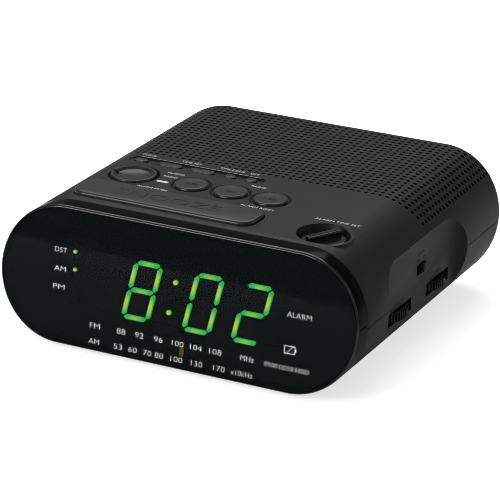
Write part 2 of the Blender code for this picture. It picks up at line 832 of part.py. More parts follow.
windows = behind(
    (DIGIT_X - MODULE_WIDTH / 2 + RIB, MODULE_LOW + RIB, 0),
    (DIGIT_X + MODULE_WIDTH / 2 - RIB, MODULE_LOW + MODULE_HEIGHT - RIB, module_front),
)
pointer_slot = behind(
    (
        POINTER_X - POINTER_TRAVEL - NEEDLE_WIDTH / 2 - SLIDE_GAP,
        rail_low - NEEDLE_HEIGHT / 2 - SLIDE_GAP,
        0,
    ),
    (
        POINTER_X + POINTER_TRAVEL + NEEDLE_WIDTH / 2 + SLIDE_GAP,
        rail_low + NEEDLE_HEIGHT / 2 + SLIDE_GAP,
        plate_back + OVERLAP,
    ),
)
boolean(chassis, cutter("chassis_windows", together(windows, pointer_slot)))

module = piece(
    "display_module",
    behind(
        (DIGIT_X - MODULE_WIDTH / 2, MODULE_LOW, module_front),
        (DIGIT_X + MODULE_WIDTH / 2, MODULE_LOW + MODULE_HEIGHT, module_back),
    ),
    MODULE,
    False,
)
piece(
    "display_board",
    behind(
        (DIGIT_X - MODULE_WIDTH / 2 - 0.004 * X, MODULE_LOW - 0.001 * Z, module_back + GAP),
        (
            DIGIT_X + MODULE_WIDTH / 2 + 0.004 * X,
            MODULE_LOW + MODULE_HEIGHT + 0.001 * Z,
            module_back + GAP + BOARD,
        ),
    ),
    LAMINATE,
    False,
)
pointer = piece(
    "dial_pointer",
    behind(
        (
            POINTER_X - CARRIAGE[0] / 2,
            rail_low - CARRIAGE[1] / 2,
            plate_back + GAP,
        ),
        (POINTER_X + CARRIAGE[0] / 2, rail_low + CARRIAGE[1] / 2, plate_back + CARRIAGE[2]),
    ),
    AMBER,
    False,
)
boolean(
    pointer,
    cutter(
        "needle",
        behind(
            (POINTER_X - NEEDLE_WIDTH / 2, rail_low - NEEDLE_HEIGHT / 2, PLATE_FRONT),
            (
                POINTER_X + NEEDLE_WIDTH / 2,
                rail_low + NEEDLE_HEIGHT / 2,
                plate_back + CARRIAGE[2] / 2,
            ),
        ),
    ),
    "UNION",
)

# Board under the top keys, with its switches
board_edge = (-0.056 * X, 0.0575 * X, -0.0530 * Y, 0.0008 * Y)
key_board = piece(
    "key_board",
    block(
        (board_edge[0], board_edge[2], KEY_BOARD_TOP - BOARD),
        (board_edge[1], board_edge[3], KEY_BOARD_TOP),
    ),
    LAMINATE,
    False,
)
boolean(
    key_board,
    cutter(
        "board_screw_holes",
        together(
            *(
                rod(SMALL_SCREW + GAP, KEY_BOARD_TOP - BOARD * 2, KEY_BOARD_TOP + BOARD, at, 12)
                for at in BOARD_SCREWS
            )
        ),
    ),
)
SWITCH_BASE = KEY_BOARD_TOP + GAP


def switch(name, at, half, height, bore):
    """A switch body with a bore for the stem or shaft above it."""
    made = piece(
        name,
        block(
            (at[0] - half, at[1] - half, SWITCH_BASE),
            (at[0] + half, at[1] + half, SWITCH_BASE + height),
        ),
        INNER,
        False,
    )
    boolean(
        made,
        cutter(
            f"{name}_bore",
            rod(bore, SWITCH_BASE + WALL / 4, SWITCH_BASE + height * 2, at, 16),
        ),
    )


def flanged(name, cap, flange, stem_at):
    """A key cap with the flange that holds it under the ceiling and a stem into its switch."""
    made = piece(name, cap, KEY)
    boolean(made, cutter(f"{name}_flange", flange), "UNION")
    stem = rod(STEM_RADIUS, STEM_END, FLANGE_TOP - FLANGE / 2, stem_at, 16)
    boolean(made, cutter(f"{name}_stem", stem), "UNION")
    pivot(made, (*stem_at, TOP))
    switch(f"{name}_switch", stem_at, SWITCH_SIDE / 2, SWITCH_HEIGHT, STEM_RADIUS + SLIDE_GAP)


def trimmed(flange):
    """The flange stopped short of where the ceiling curves down."""
    bmesh.ops.bisect_plane(
        flange,
        geom=flange.verts[:] + flange.edges[:] + flange.faces[:],
        plane_co=(FLANGE_LIMIT, 0, 0),
        plane_no=(1, 0, 0),
        clear_inner=True,
    )
    bmesh.ops.holes_fill(flange, edges=flange.edges[:])
    return outward(flange)


FLANGE_TOP = CEILING - GAP
FLANGE_LOW = FLANGE_TOP - FLANGE
CAP_LOW = FLANGE_TOP - FLANGE / 2
FLANGE_REACH = 0.0013 * S
FLANGE_LIMIT = -(WIDTH - BODY_HEIGHT) / 2 - 0.001 * S
flanged(
    "snooze_bar",
    soften_top(snooze_slab(0, CAP_LOW, TOP + SNOOZE_RISE), 0.0012 * S),
    trimmed(snooze_slab(FLANGE_REACH + SLIDE_GAP, FLANGE_LOW, FLANGE_TOP)),
    SNOOZE_AT,
)
for name, x in BUTTONS:
    flanged(
        name,
        soften_top(rod(BUTTON_RADIUS, CAP_LOW, TOP + BUTTON_RISE, (x, BUTTON_Y)), 0.0008 * S),
        rod(BUTTON_RADIUS + FLANGE_REACH, FLANGE_LOW, FLANGE_TOP, (x, BUTTON_Y)),
        (x, BUTTON_Y),
    )
for name, x, width in KEYS:
    flanged(
        name,
        soften_top(key_slab(x, width, 0, CAP_LOW, TOP - 0.0001 * S), 0.0005 * S),
        trimmed(key_slab(x, width, FLANGE_REACH, FLANGE_LOW, FLANGE_TOP)),
        (x, CHANNEL_AT[1]),
    )


def turning(name, at, radius, seat, top, surface):
    """A control that turns on a shaft reaching into its rotary switch."""
    soft = 0.0007 * S
    outline = [
        (0, top),
        (radius - soft, top),
        (radius - soft * 0.3, top - soft * 0.3),
        (radius, top - soft),
        (radius, seat + GAP),
        (SHAFT_RADIUS, seat + GAP),
        (SHAFT_RADIUS, SHAFT_END),
        (0, SHAFT_END),
    ]
    made = turned(piece(name, profile(outline), surface), Matrix.Translation((*at, 0)))
    switch(f"{name}_switch", at, ROTARY_SIDE / 2, ROTARY_HEIGHT, SHAFT_RADIUS + SLIDE_GAP)
    return made


dial = turning("alarm_mode_dial", DIAL_AT, DIAL_RADIUS, DIAL_SEAT, TOP + 0.0006 * Z, KEY)
DISH = 0.0007 * S
boolean(
    dial,
    cutter("dial_dish", rod(DIAL_RADIUS - 0.0016 * S, TOP + 0.0006 * Z - DISH, UP, DIAL_AT)),
)
pivot(dial, (*DIAL_AT, TOP))
knob = turning("alarm_time_knob", KNOB_AT, KNOB_RADIUS, KNOB_SEAT, TOP - 0.0018 * Z, GLOSS)
ridge = block(
    (-KNOB_RADIUS * 0.86, -0.0016 * S, TOP - 0.0028 * Z),
    (KNOB_RADIUS * 0.86, 0.0016 * S, TOP + 0.0003 * Z),
)
bevel(ridge, ridge.edges[:], 0.0005 * S, 2)
ridge.transform(Matrix.Translation((*KNOB_AT, 0)) @ Matrix.Rotation(math.radians(62), 4, "Z"))
boolean(knob, cutter("knob_ridge", ridge), "UNION")
pivot(knob, (*KNOB_AT, TOP))

# Main board with the two thumbwheel controls and the band switch
piece(
    "main_board",
    block(
        (MAIN_BOARD[0], MAIN_BOARD[2], MAIN_BOARD_TOP - BOARD),
        (MAIN_BOARD[1], MAIN_BOARD[3], MAIN_BOARD_TOP),
    ),
    LAMINATE,
    False,
)
CONTROL_BASE = MAIN_BOARD_TOP + GAP
CONTROL_TOP = WHEEL_Z - WHEEL_HEIGHT / 2 - GAP
WHEEL_SHAFT_END = CONTROL_BASE + 0.0015 * Z


def wheel(name, body_name, y, body):
    """A ribbed disc on a shaft that reaches into its control."""
    half = WHEEL_HEIGHT / 2
    disc = rod(WHEEL_RADIUS, -half, half, steps=WHEEL_TEETH * 2)
    step = math.pi / WHEEL_TEETH
    hollows = [v for v in disc.verts if round(math.atan2(v.co.y, v.co.x) / step) % 2]
    share = 1 - WHEEL_TOOTH / WHEEL_RADIUS
    bmesh.ops.scale(disc, verts=hollows, vec=(share, share, 1))
    rims = [e for e in disc.edges if e.verts[0].co.z * e.verts[1].co.z > 0]
    bevel(disc, rims, 0.0006 * S, 1)
    made = piece(name, disc, INNER, False)
    boolean(
        made,
        cutter(f"{name}_shaft", rod(SHAFT_RADIUS, WHEEL_SHAFT_END - WHEEL_Z, 0, (0, 0), 20)),
        "UNION",
    )
    made.location = (WHEEL_X, y, WHEEL_Z)
    bpy.data.objects[f"{name}_shaft"].location = (WHEEL_X, y, WHEEL_Z)
    holder = piece(body_name, body, INNER, False)
    boolean(
        holder,
        cutter(
            f"{body_name}_bore",
            rod(
                SHAFT_RADIUS + SLIDE_GAP, CONTROL_BASE + WALL / 3, CONTROL_TOP + WALL, (WHEEL_X, y), 20
            ),
        ),
    )


side = CONTROL_SIZE / 2
wheel(
    "volume_wheel",
    "volume_control",
    VOLUME_Y,
    rod(side, CONTROL_BASE, CONTROL_TOP, (WHEEL_X, VOLUME_Y), 24),
)
wheel(
    "tuning_wheel",
    "tuning_capacitor",
    TUNING_Y,
    block(
        (WHEEL_X - side, TUNING_Y - side, CONTROL_BASE), (WHEEL_X + side, TUNING_Y + side, CONTROL_TOP)
    ),
)
BAND_BACK = RECESS_FLOOR - WALL - GAP - BAND_BODY[0]
BAND_FACE = RECESS_FLOOR - WALL - GAP
band_switch = piece(
    "band_switch",
    block(
        (BAND_BACK, BAND_AT[0] - BAND_BODY[1] / 2, BAND_AT[1] - BAND_BODY[2] / 2),
        (BAND_FACE, BAND_AT[0] + BAND_BODY[1] / 2, BAND_AT[1] + BAND_BODY[2] / 2),
    ),
    STEEL,
    False,
)
BAND_TRAVEL = BAND_SLOT[0] - BAND_KNOB - 2 * SLIDE_GAP
knob_half = BAND_KNOB / 2
knob_tall = BAND_SLOT[1] / 2 - SLIDE_GAP
boolean(
    band_switch,
    cutter(
        "band_switch_groove",
        block(
            (
                BAND_BACK + BAND_BODY[0] / 2,
                BAND_AT[0] - BAND_SLOT[0] / 2,
                BAND_AT[1] - BAND_SLOT[1] / 2,
            ),
            (RECESS_FLOOR, BAND_AT[0] + BAND_SLOT[0] / 2, BAND_AT[1] + BAND_SLOT[1] / 2),
        ),
    ),
)
band_y = BAND_AT[0] + BAND_TRAVEL / 2
slider = piece(
    "band_slider",
    block(
        (BAND_BACK + BAND_BODY[0] / 2 + GAP, band_y - knob_half, BAND_AT[1] - knob_tall),
        (RECESS_FLOOR + 0.0014 * X, band_y + knob_half, BAND_AT[1] + knob_tall),
    ),
    KEY,
    False,
)
pivot(slider, (RECESS_FLOOR, band_y, BAND_AT[1]))

# Loudspeaker under the rear of the top, facing up
flange_low = SPEAKER_TOP - SPEAKER_FLANGE
BASKET = 0.0012 * S
CONE_FOOT = flange_low - 0.009 * Z
speaker = [
    (SPEAKER_RADIUS, SPEAKER_TOP),
    (SPEAKER_RADIUS, flange_low),
    (SPEAKER_RADIUS * 0.92, flange_low),
    (SPEAKER_RADIUS * 0.70, CONE_FOOT),
    (SPEAKER_RADIUS * 0.40, CONE_FOOT - BASKET),
    (SPEAKER_RADIUS * 0.40, CONE_FOOT),
    (SPEAKER_RADIUS * 0.66, CONE_FOOT + BASKET),
    (SPEAKER_RADIUS * 0.86, flange_low + BASKET),
    (SPEAKER_RADIUS * 0.86, SPEAKER_TOP),
]
turned(piece("speaker_basket", profile(speaker), STEEL), speaker_place)
CONE = 0.0008 * S
cone = [
    (0, CONE_FOOT + 0.0035 * Z),
    (SPEAKER_RADIUS * 0.24, CONE_FOOT + 0.0028 * Z),
    (SPEAKER_RADIUS * 0.34, CONE_FOOT + 0.0022 * Z),
    (SPEAKER_RADIUS * 0.86 - 2 * GAP, SPEAKER_TOP),
    (SPEAKER_RADIUS * 0.86 - 2 * GAP, SPEAKER_TOP - CONE),
    (SPEAKER_RADIUS * 0.38, CONE_FOOT + 0.0010 * Z),
    (SPEAKER_RADIUS * 0.38, CONE_FOOT - 0.0006 * Z),
    (SPEAKER_RADIUS * 0.34, CONE_FOOT - 0.0006 * Z),
    (SPEAKER_RADIUS * 0.34, CONE_FOOT + 0.0012 * Z),
    (SPEAKER_RADIUS * 0.24, CONE_FOOT + 0.0018 * Z),
    (0, CONE_FOOT + 0.0024 * Z),
]
turned(piece("speaker_cone", profile(cone), PAPER), speaker_place)
MAGNET_TOP = CONE_FOOT - BASKET - GAP
magnet = rod(SPEAKER_RADIUS * 0.56, MAGNET_TOP - 0.009 * Z, MAGNET_TOP, SPEAKER_AT)
piece("speaker_magnet", magnet, FERRITE)

# Mains transformer
core_low = FLOOR + GAP
core = piece(
    "transformer_core",
    block(
        (CORE_AT[0] - CORE[0] / 2, CORE_AT[1] - CORE[1] / 2, core_low),
        (CORE_AT[0] + CORE[0] / 2, CORE_AT[1] + CORE[1] / 2, core_low + CORE[2]),
    ),
    STEEL,
    False,
)
core_middle = core_low + CORE[2] / 2
leg_offset = CORE_LEG / 2 + CORE_WINDOW[0] / 2
boolean(
    core,
    cutter(
        "core_windows",
        together(
            *(
                block(
                    (
                        CORE_AT[0] + sx * leg_offset - CORE_WINDOW[0] / 2,
                        CORE_AT[1] - CORE[1],
                        core_middle - CORE_WINDOW[1] / 2,
                    ),
                    (
                        CORE_AT[0] + sx * leg_offset + CORE_WINDOW[0] / 2,
                        CORE_AT[1] + CORE[1],
                        core_middle + CORE_WINDOW[1] / 2,
                    ),
                )
                for sx in (-1, 1)
            )
        ),
    ),
)
coil_half = CORE_WINDOW[1] / 2 - GAP
winding = piece(
    "transformer_winding",
    slab(
        CORE_LEG + 2 * WINDING,
        CORE[1] + 2 * WINDING,
        0.003 * S,
        CORNER_STEPS,
        core_middle - coil_half,
        core_middle + coil_half,
        CORE_AT,
    ),
    COPPER,
)
boolean(
    winding,
    cutter(
        "winding_bore",
        block(
            (
                CORE_AT[0] - CORE_LEG / 2 - GAP,
                CORE_AT[1] - CORE[1] / 2 - GAP,
                core_middle - CORE_WINDOW[1],
            ),
            (
                CORE_AT[0] + CORE_LEG / 2 + GAP,
                CORE_AT[1] + CORE[1] / 2 + GAP,
                core_middle + CORE_WINDOW[1],
            ),
        ),
    ),
)

# Aerial rod in its cradles, and its coil
aerial = rod(ROD_RADIUS, -ROD_LENGTH / 2, ROD_LENGTH / 2, steps=24)
aerial.transform(rod_place)
piece("aerial_rod", aerial, FERRITE)
coil = [
    (COIL_RADIUS, COIL_LENGTH / 2),
    (COIL_RADIUS, -COIL_LENGTH / 2),
    (ROD_RADIUS + GAP, -COIL_LENGTH / 2),
    (ROD_RADIUS + GAP, COIL_LENGTH / 2),
]
turned(piece("aerial_coil", profile(coil), COPPER), rod_place)

# Backup cell under its sliding lid
piece(
    "battery_lid",
    t_slot(
        LID_AT[1] - LID_SIZE[1] / 2,
        LID_SIZE[1],
        LID_HALF,
        LID_HALF + TONGUE,
        BASE,
        BASE + 0.0004 * S + GAP,
        LID_TOP,
    ),
    CASE,
    False,
)
pivot(bpy.data.objects["battery_lid"], (*LID_AT, BASE))
piece(
    "backup_cell",
    rod(CELL_RADIUS, LID_TOP + 2 * GAP, LID_TOP + 2 * GAP + CELL_HEIGHT, LID_AT),
    STEEL,
)

# Fastenings, feet and the bushing where the mains lead enters
def screw(name, place, radius, head_radius, head, length):
    """Pan head below, shank upwards."""
    outline = [
        (0, length),
        (radius, length - radius),
        (radius, 0),
        (head_radius, 0),
        (head_radius, -head * 0.5),
        (head_radius * 0.7, -head),
        (0, -head),
    ]
    turned(piece(name, profile(outline), STEEL), Matrix.Translation(place), 16)


for row, y in zip(("front", "rear"), BOSS_YS):
    for hand, sign in (("left", -1), ("right", 1)):
        screw(
            f"case_screw_{row}_{hand}",
            (sign * BOSS_X, y, SCREW_SEAT - GAP),
            SCREW_RADIUS,
            SCREW_HEAD_RADIUS,
            0.0018 * S,
            PILOT_TOP - SCREW_SEAT - WALL,
        )
for hand, at in zip(("left", "right"), BOARD_SCREWS):
    screw(
        f"board_screw_{hand}",
        (*at, KEY_BOARD_TOP - BOARD - GAP),
        SMALL_SCREW,
        0.0022 * S,
        0.0012 * S,
        BOARD + 0.006 * Z,
    )
for hand, sign in (("left", -1), ("right", 1)):
    screw(
        f"speaker_screw_{hand}",
        (sign * SPEAKER_SCREW_X, SPEAKER_AT[1], flange_low - GAP),
        SMALL_SCREW,
        0.0042 * S,
        0.0012 * S,
        SPEAKER_FLANGE + WALL / 4,
    )
for row, index in (("front", 0), ("rear", 1)):
    for hand, sign in (("left", 0), ("right", 1)):
        piece(
            f"foot_{row}_{hand}",
            rod(FOOT_RADIUS, 0, BASE + FOOT_POCKET - GAP, FEET[sign * 2 + index], 24),
            RUBBER,
        )
LIP = 0.0012 * S
bushing = [
    (INLET_RADIUS + LIP, GAP + LIP),
    (INLET_RADIUS + LIP, GAP),
    (INLET_RADIUS, GAP),
    (INLET_RADIUS, -WALL - GAP),
    (INLET_RADIUS + LIP, -WALL - GAP),
    (INLET_RADIUS + LIP, -WALL - LIP - GAP),
    (INLET_BORE, -WALL - LIP - GAP),
    (INLET_BORE, GAP + LIP),
]
turned(piece("cord_inlet", profile(bushing), RUBBER), inlet_place)
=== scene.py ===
"""Clock radio: the looks of a bedside radio with a leaning smoked display front, a perforated
speaker top, a snooze bar and keys, and thumbwheels in a scoop in its right side."""

import json
import math

import bmesh
import bpy
from bpy.props import FloatProperty, FloatVectorProperty, IntProperty, PointerProperty
from mathutils import Matrix, Vector


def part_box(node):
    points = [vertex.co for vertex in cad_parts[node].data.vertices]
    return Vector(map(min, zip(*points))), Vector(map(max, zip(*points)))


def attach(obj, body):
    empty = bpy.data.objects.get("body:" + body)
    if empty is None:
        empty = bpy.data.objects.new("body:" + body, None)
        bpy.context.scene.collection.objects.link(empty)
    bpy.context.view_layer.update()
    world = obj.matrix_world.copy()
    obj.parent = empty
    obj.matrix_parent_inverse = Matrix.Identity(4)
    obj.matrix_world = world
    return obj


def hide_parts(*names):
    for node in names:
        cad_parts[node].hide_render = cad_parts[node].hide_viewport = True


bl_info = {
    "name": "Clock Radio",
    "version": (1, 0, 0),
    "blender": (4, 5, 0),
    "location": "View3D > Sidebar > Clock Radio",
    "description": "Builds the visible pieces of a bedside clock radio on its packed frame",
    "category": "Add Mesh",
}

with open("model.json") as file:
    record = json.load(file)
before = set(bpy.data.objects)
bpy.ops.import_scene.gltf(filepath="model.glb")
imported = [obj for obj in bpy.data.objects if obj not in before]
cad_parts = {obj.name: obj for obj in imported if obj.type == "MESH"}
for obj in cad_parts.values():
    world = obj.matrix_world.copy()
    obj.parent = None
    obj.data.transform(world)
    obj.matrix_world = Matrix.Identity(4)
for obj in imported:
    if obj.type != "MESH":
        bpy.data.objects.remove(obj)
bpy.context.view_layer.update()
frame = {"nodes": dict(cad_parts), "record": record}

BODY = "radio_body"
LENS_LOW, LENS_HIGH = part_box("front_lens")
WIDTH = LENS_HIGH[0] - LENS_LOW[0]
BASE, TOP = LENS_LOW[2], LENS_HIGH[2]
HEIGHT = TOP - BASE
MIDDLE = (BASE + TOP) / 2
RADIUS = HEIGHT / 2
FRONT_Y, REAR_Y = LENS_LOW[1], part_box("upper_cabinet")[1][1]
MM = 0.001
OUTLINE_STEPS = 128
FRONT_SOFT = 1.0 * MM
BACK_ROUND = 5 * MM
SCOOP_DEPTH = 4.5 * MM
OVER = TOP + 5 * MM  # clear of the top, for what cuts down into it
UNDER = -5 * MM  # clear of the floor, for what cuts up into the base
FAR = 100 * MM  # clear of the whole cabinet
PRINT = 0.03 * MM
LIFT = 0.002 * MM  # keeps print off the face below it

BUTTONS = {
    "radio_off_button": ("OFF", 2.6 * MM),
    "radio_on_button": ("ON", 2.0 * MM),
    "sleep_button": ("SLEEP", 3.6 * MM),
}
BUTTON_RADIUS = 6.9 * MM
KEYS = ("clock_key", "time_back_key", "time_forward_key", "zone_key", "summer_time_key")
SNOOZE_X = -16.6 * MM
SNOOZE_HALF = (39 * MM, 8.5 * MM)
SNOOZE_GAP = 0.4 * MM
LAMPS_BEHIND = 2.2 * MM


def length(name, description, millimetres):
    return FloatProperty(
        name=name, description=description, default=millimetres * MM, unit="LENGTH"
    )


def colour(name, description, default):
    return FloatVectorProperty(
        name=name, description=description, default=default, subtype="COLOR"
    )


class RadioSizes(bpy.types.PropertyGroup):
    """Sizes of the cabinet and its openings"""

    front_lean: length("Front lean", "How far the front leans back", 8.9)
    back_lean: length("Back lean", "How far the back overhangs", 10.7)
    lens_depth: length("Front depth", "Depth of the smoked front's rim", 8.45)
    wall: length("Wall", "Cabinet wall thickness", 2.2)
    hole_pitch: length("Hole pitch", "Spacing of the speaker holes", 2.97)
    hole_radius: length("Hole radius", "Radius of a speaker hole", 0.88)
    hole_rows: IntProperty(
        name="Hole rows", description="Rows of speaker holes from front to back", default=23
    )
    hole_columns: IntProperty(
        name="Hole columns", description="Columns of speaker holes across the top", default=49
    )


class RadioColours(bpy.types.PropertyGroup):
    """Colours of the finishes"""

    case: colour("Cabinet", "Charcoal of the cabinet", (0.0095, 0.0095, 0.0100))
    key: colour("Keys", "Black of the keys", (0.010, 0.010, 0.0105))
    gloss: colour("Gloss", "Black of the glossy parts", (0.003, 0.003, 0.0033))
    legend: colour("Legends", "White of the printed numbers", (1.0, 1.0, 1.0))
    segment: colour("Segments", "Green of the lit segments", (0.026, 0.40, 0.08))
    segment_core: colour(
        "Segment middle", "Yellow-green middle of a lit segment", (0.46, 0.58, 0.06)
    )


# Materials


def socket(group, name, kind, way, default=None):
    made = group.interface.new_socket(name=name, in_out=way, socket_type=kind)
    if default is not None:
        made.default_value = default
    return made


def math_node(nodes, operation, value=None, at=1):
    """A Math node, with a fixed value in one input where it has one."""
    made = nodes.new("ShaderNodeMath")
    made.operation = operation
    if value is not None:
        made.inputs[at].default_value = value
    return made


def seen_plainly(nodes, links):
    """1 for rays from the camera, straight or through the smoked front, and 0 for the rest."""
    path = nodes.new("ShaderNodeLightPath")
    seen = math_node(nodes, "MAXIMUM")
    links.new(path.outputs["Is Camera Ray"], seen.inputs[0])
    links.new(path.outputs["Is Transmission Ray"], seen.inputs[1])
    return seen.outputs[0]


def moulded_skin():
    """Fine spark-eroded grain with slow changes of shade and sheen."""
    group = bpy.data.node_groups.get("moulded_skin")
    if group:
        return group
    group = bpy.data.node_groups.new("moulded_skin", "ShaderNodeTree")
    socket(group, "Color", "NodeSocketColor", "INPUT", (0.02, 0.02, 0.02, 1))
    socket(group, "Roughness", "NodeSocketFloat", "INPUT", 0.5)
    socket(group, "Grain", "NodeSocketFloat", "INPUT", 1800.0)
    socket(group, "Unevenness", "NodeSocketFloat", "INPUT", 0.15)
    socket(group, "Color", "NodeSocketColor", "OUTPUT")
    socket(group, "Roughness", "NodeSocketFloat", "OUTPUT")
    socket(group, "Height", "NodeSocketFloat", "OUTPUT")
    nodes, links = group.nodes, group.links
    source, out = nodes.new("NodeGroupInput"), nodes.new("NodeGroupOutput")
    place = nodes.new("ShaderNodeTexCoord")
    fine = nodes.new("ShaderNodeTexNoise")
    fine.inputs["Detail"].default_value = 2.0
    links.new(place.outputs["Object"], fine.inputs["Vector"])
    links.new(source.outputs["Grain"], fine.inputs["Scale"])
    slow = nodes.new("ShaderNodeTexNoise")
    slow.inputs["Scale"].default_value = 28.0
    slow.inputs["Detail"].default_value = 4.0
    links.new(place.outputs["Object"], slow.inputs["Vector"])
    swing = math_node(nodes, "MULTIPLY_ADD", 1.0, at=2)
    centred = math_node(nodes, "SUBTRACT", 0.5)
    links.new(slow.outputs["Fac"], centred.inputs[0])
    links.new(centred.outputs[0], swing.inputs[0])
    links.new(source.outputs["Unevenness"], swing.inputs[1])
    rough = math_node(nodes, "MULTIPLY")
    links.new(source.outputs["Roughness"], rough.inputs[0])
    links.new(swing.outputs[0], rough.inputs[1])
    tint = nodes.new("ShaderNodeMix")
    tint.data_type = "RGBA"
    tint.blend_type = "MULTIPLY"
    tint.inputs["Factor"].default_value = 1.0
    links.new(source.outputs["Color"], tint.inputs["A"])
    links.new(swing.outputs[0], tint.inputs["B"])
    links.new(tint.outputs["Result"], out.inputs["Color"])
    links.new(rough.outputs[0], out.inputs["Roughness"])
    links.new(fine.outputs["Fac"], out.inputs["Height"])
    return group


def finish(
    name, color, roughness, grain=1800.0, depth=0.03, unevenness=0.15, *,
    specular=0.5, metallic=0.0, alpha=1.0,
):
    """A Principled finish on the moulded skin; depth is the grain's height in millimetres."""
    made = bpy.data.materials.get(name)
    if made:
        return made
    made = bpy.data.materials.new(name)
    made.use_nodes = True
    nodes, links = made.node_tree.nodes, made.node_tree.links
    shader = nodes["Principled BSDF"]
    skin = nodes.new("ShaderNodeGroup")
    skin.node_tree = moulded_skin()
    skin.inputs["Color"].default_value = (*color, 1)
    skin.inputs["Roughness"].default_value = roughness
    skin.inputs["Grain"].default_value = grain
    skin.inputs["Unevenness"].default_value = unevenness
    links.new(skin.outputs["Color"], shader.inputs["Base Color"])
    links.new(skin.outputs["Roughness"], shader.inputs["Roughness"])
    if depth:
        bump = nodes.new("ShaderNodeBump")
        bump.inputs["Strength"].default_value = 0.6
        bump.inputs["Distance"].default_value = depth * MM
        links.new(skin.outputs["Height"], bump.inputs["Height"])
        links.new(bump.outputs["Normal"], shader.inputs["Normal"])
    shader.inputs["Specular IOR Level"].default_value = specular
    shader.inputs["Metallic"].default_value = metallic
    shader.inputs["Alpha"].default_value = alpha
    made.diffuse_color = (*color, 1)
    return made


def lit(name, edge, core, strength):
    """A lamp's glow that runs from its edge colour to its core colour by the glow attribute."""
    made = bpy.data.materials.get(name)
    if made:
        return made
    made = bpy.data.materials.new(name)
    made.use_nodes = True
    nodes, links = made.node_tree.nodes, made.node_tree.links
    shader = nodes["Principled BSDF"]
    glow = nodes.new("ShaderNodeAttribute")
    glow.attribute_name = "glow"
    ramp = nodes.new("ShaderNodeValToRGB")
    ramp.color_ramp.elements[0].color = (*edge, 1)
    ramp.color_ramp.elements[0].position = 0.2
    ramp.color_ramp.elements[1].color = (*core, 1)
    ramp.color_ramp.elements[1].position = 1.0
    links.new(glow.outputs["Fac"], ramp.inputs["Fac"])
    links.new(ramp.outputs["Color"], shader.inputs["Emission Color"])
    shader.inputs["Emission Strength"].default_value = strength
    shader.inputs["Base Color"].default_value = (0.01, 0.02, 0.01, 1)
    shader.inputs["Roughness"].default_value = 0.4
    return made


def case_finish():
    colours = bpy.context.scene.radio_colours
    return finish("cabinet_charcoal", colours.case, 0.44, 1500.0, 0.035, 0.12, specular=0.18)


def key_finish():
    colours = bpy.context.scene.radio_colours
    return finish("key_black", colours.key, 0.3, 1900.0, 0.02, 0.12, specular=0.4)


def gloss_finish():
    colours = bpy.context.scene.radio_colours
    return finish("gloss_black", colours.gloss, 0.16, 900.0, 0, 0.1, specular=0.25)


def legend_finish():
    colours = bpy.context.scene.radio_colours
    return finish("legend_white", colours.legend, 0.5, 1200.0, 0, 0.05)


# Shapes


def centre_of(node):
    low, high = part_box(node)
    return [(a + b) / 2 for a, b in zip(low, high)]


def turn(degrees, axis="Z"):
    return Matrix.Rotation(math.radians(degrees), 4, axis)


def shift(x, y, z=0.0):
    return Matrix.Translation((x, y, z))


def is_upright(edge, least):
    return abs(edge.verts[0].co.z - edge.verts[1].co.z) > least


def top_edges(bm, height):
    return [e for e in bm.edges if min(v.co.z for v in e.verts) > height - 1e-7]


def piece(name, bm, surface, body=BODY, stands_for=(), smooth=35.0):
    """A finished object from a bmesh, riding on its body."""
    mesh = bpy.data.meshes.new(name)
    bm.to_mesh(mesh)
    bm.free()
    if smooth:
        mesh.shade_smooth()
        mesh.set_sharp_from_angle(angle=math.radians(smooth))
    mesh.materials.append(surface)
    made = bpy.data.objects.new(name, mesh)
    bpy.context.scene.collection.objects.link(made)
    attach(made, body)
    if stands_for:
        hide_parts(*stands_for)
    return made


def applied(obj):
    """The object's mesh with its modifiers worked in."""
    graph = bpy.context.evaluated_depsgraph_get()
    graph.update()
    mesh = bpy.data.meshes.new_from_object(obj.evaluated_get(graph))
    bm = bmesh.new()
    bm.from_mesh(mesh)
    bpy.data.meshes.remove(mesh)
    return bm


def cut(bm, *tools, operation="DIFFERENCE"):
    """The solid with each tool taken out of it, or joined to it."""
    body = bpy.data.objects.new("working", bpy.data.meshes.new("working"))
    bm.to_mesh(body.data)
    bm.free()
    bpy.context.scene.collection.objects.link(body)
    used = [body]
    for tool in tools:
        helper = bpy.data.objects.new("tool", bpy.data.meshes.new("tool"))
        tool.to_mesh(helper.data)
        tool.free()
        bpy.context.scene.collection.objects.link(helper)
        used.append(helper)
        step = body.modifiers.new("tool", "BOOLEAN")
        step.operation = operation
        step.solver = "EXACT"
        step.object = helper
    made = applied(body)
    for obj in used:
        bpy.data.objects.remove(obj, do_unlink=True)
    return made


def merged(*solids):
    """Solids that don't touch, in one bmesh."""
    made = bmesh.new()
    for bm in solids:
        mesh = bpy.data.meshes.new("merging")
        bm.to_mesh(mesh)
        bm.free()
        made.from_mesh(mesh)
        bpy.data.meshes.remove(mesh)
    return made


def outward(bm):
    """The closed solid with its faces turned outwards."""
    bmesh.ops.recalc_face_normals(bm, faces=bm.faces[:])
    if bm.calc_volume(signed=True) < 0:
        bmesh.ops.reverse_faces(bm, faces=bm.faces[:])
    return bm


def bevelled(bm, edges, offset, segments=3):
    bmesh.ops.bevel(
        bm, geom=edges, offset=offset, offset_type="OFFSET", segments=segments, profile=0.5,
        affect="EDGES", clamp_overlap=True, material=-1,
    )
    return bm


def block(low, high, corner=0.0, soft=0.0, corner_steps=6, soft_steps=3):
    """A box with round upright corners and a soft top edge."""
    bm = bmesh.new()
    bmesh.ops.create_cube(bm, size=1)
    size = Vector(high) - Vector(low)
    bmesh.ops.translate(bm, verts=bm.verts[:], vec=(0.5, 0.5, 0.5))
    bmesh.ops.scale(bm, verts=bm.verts[:], vec=size)
    bmesh.ops.translate(bm, verts=bm.verts[:], vec=low)
    if corner:
        bevelled(bm, [e for e in bm.edges if is_upright(e, size.z / 2)], corner, corner_steps)
    if soft:
        bevelled(bm, top_edges(bm, high[2]), soft, soft_steps)
    return bm


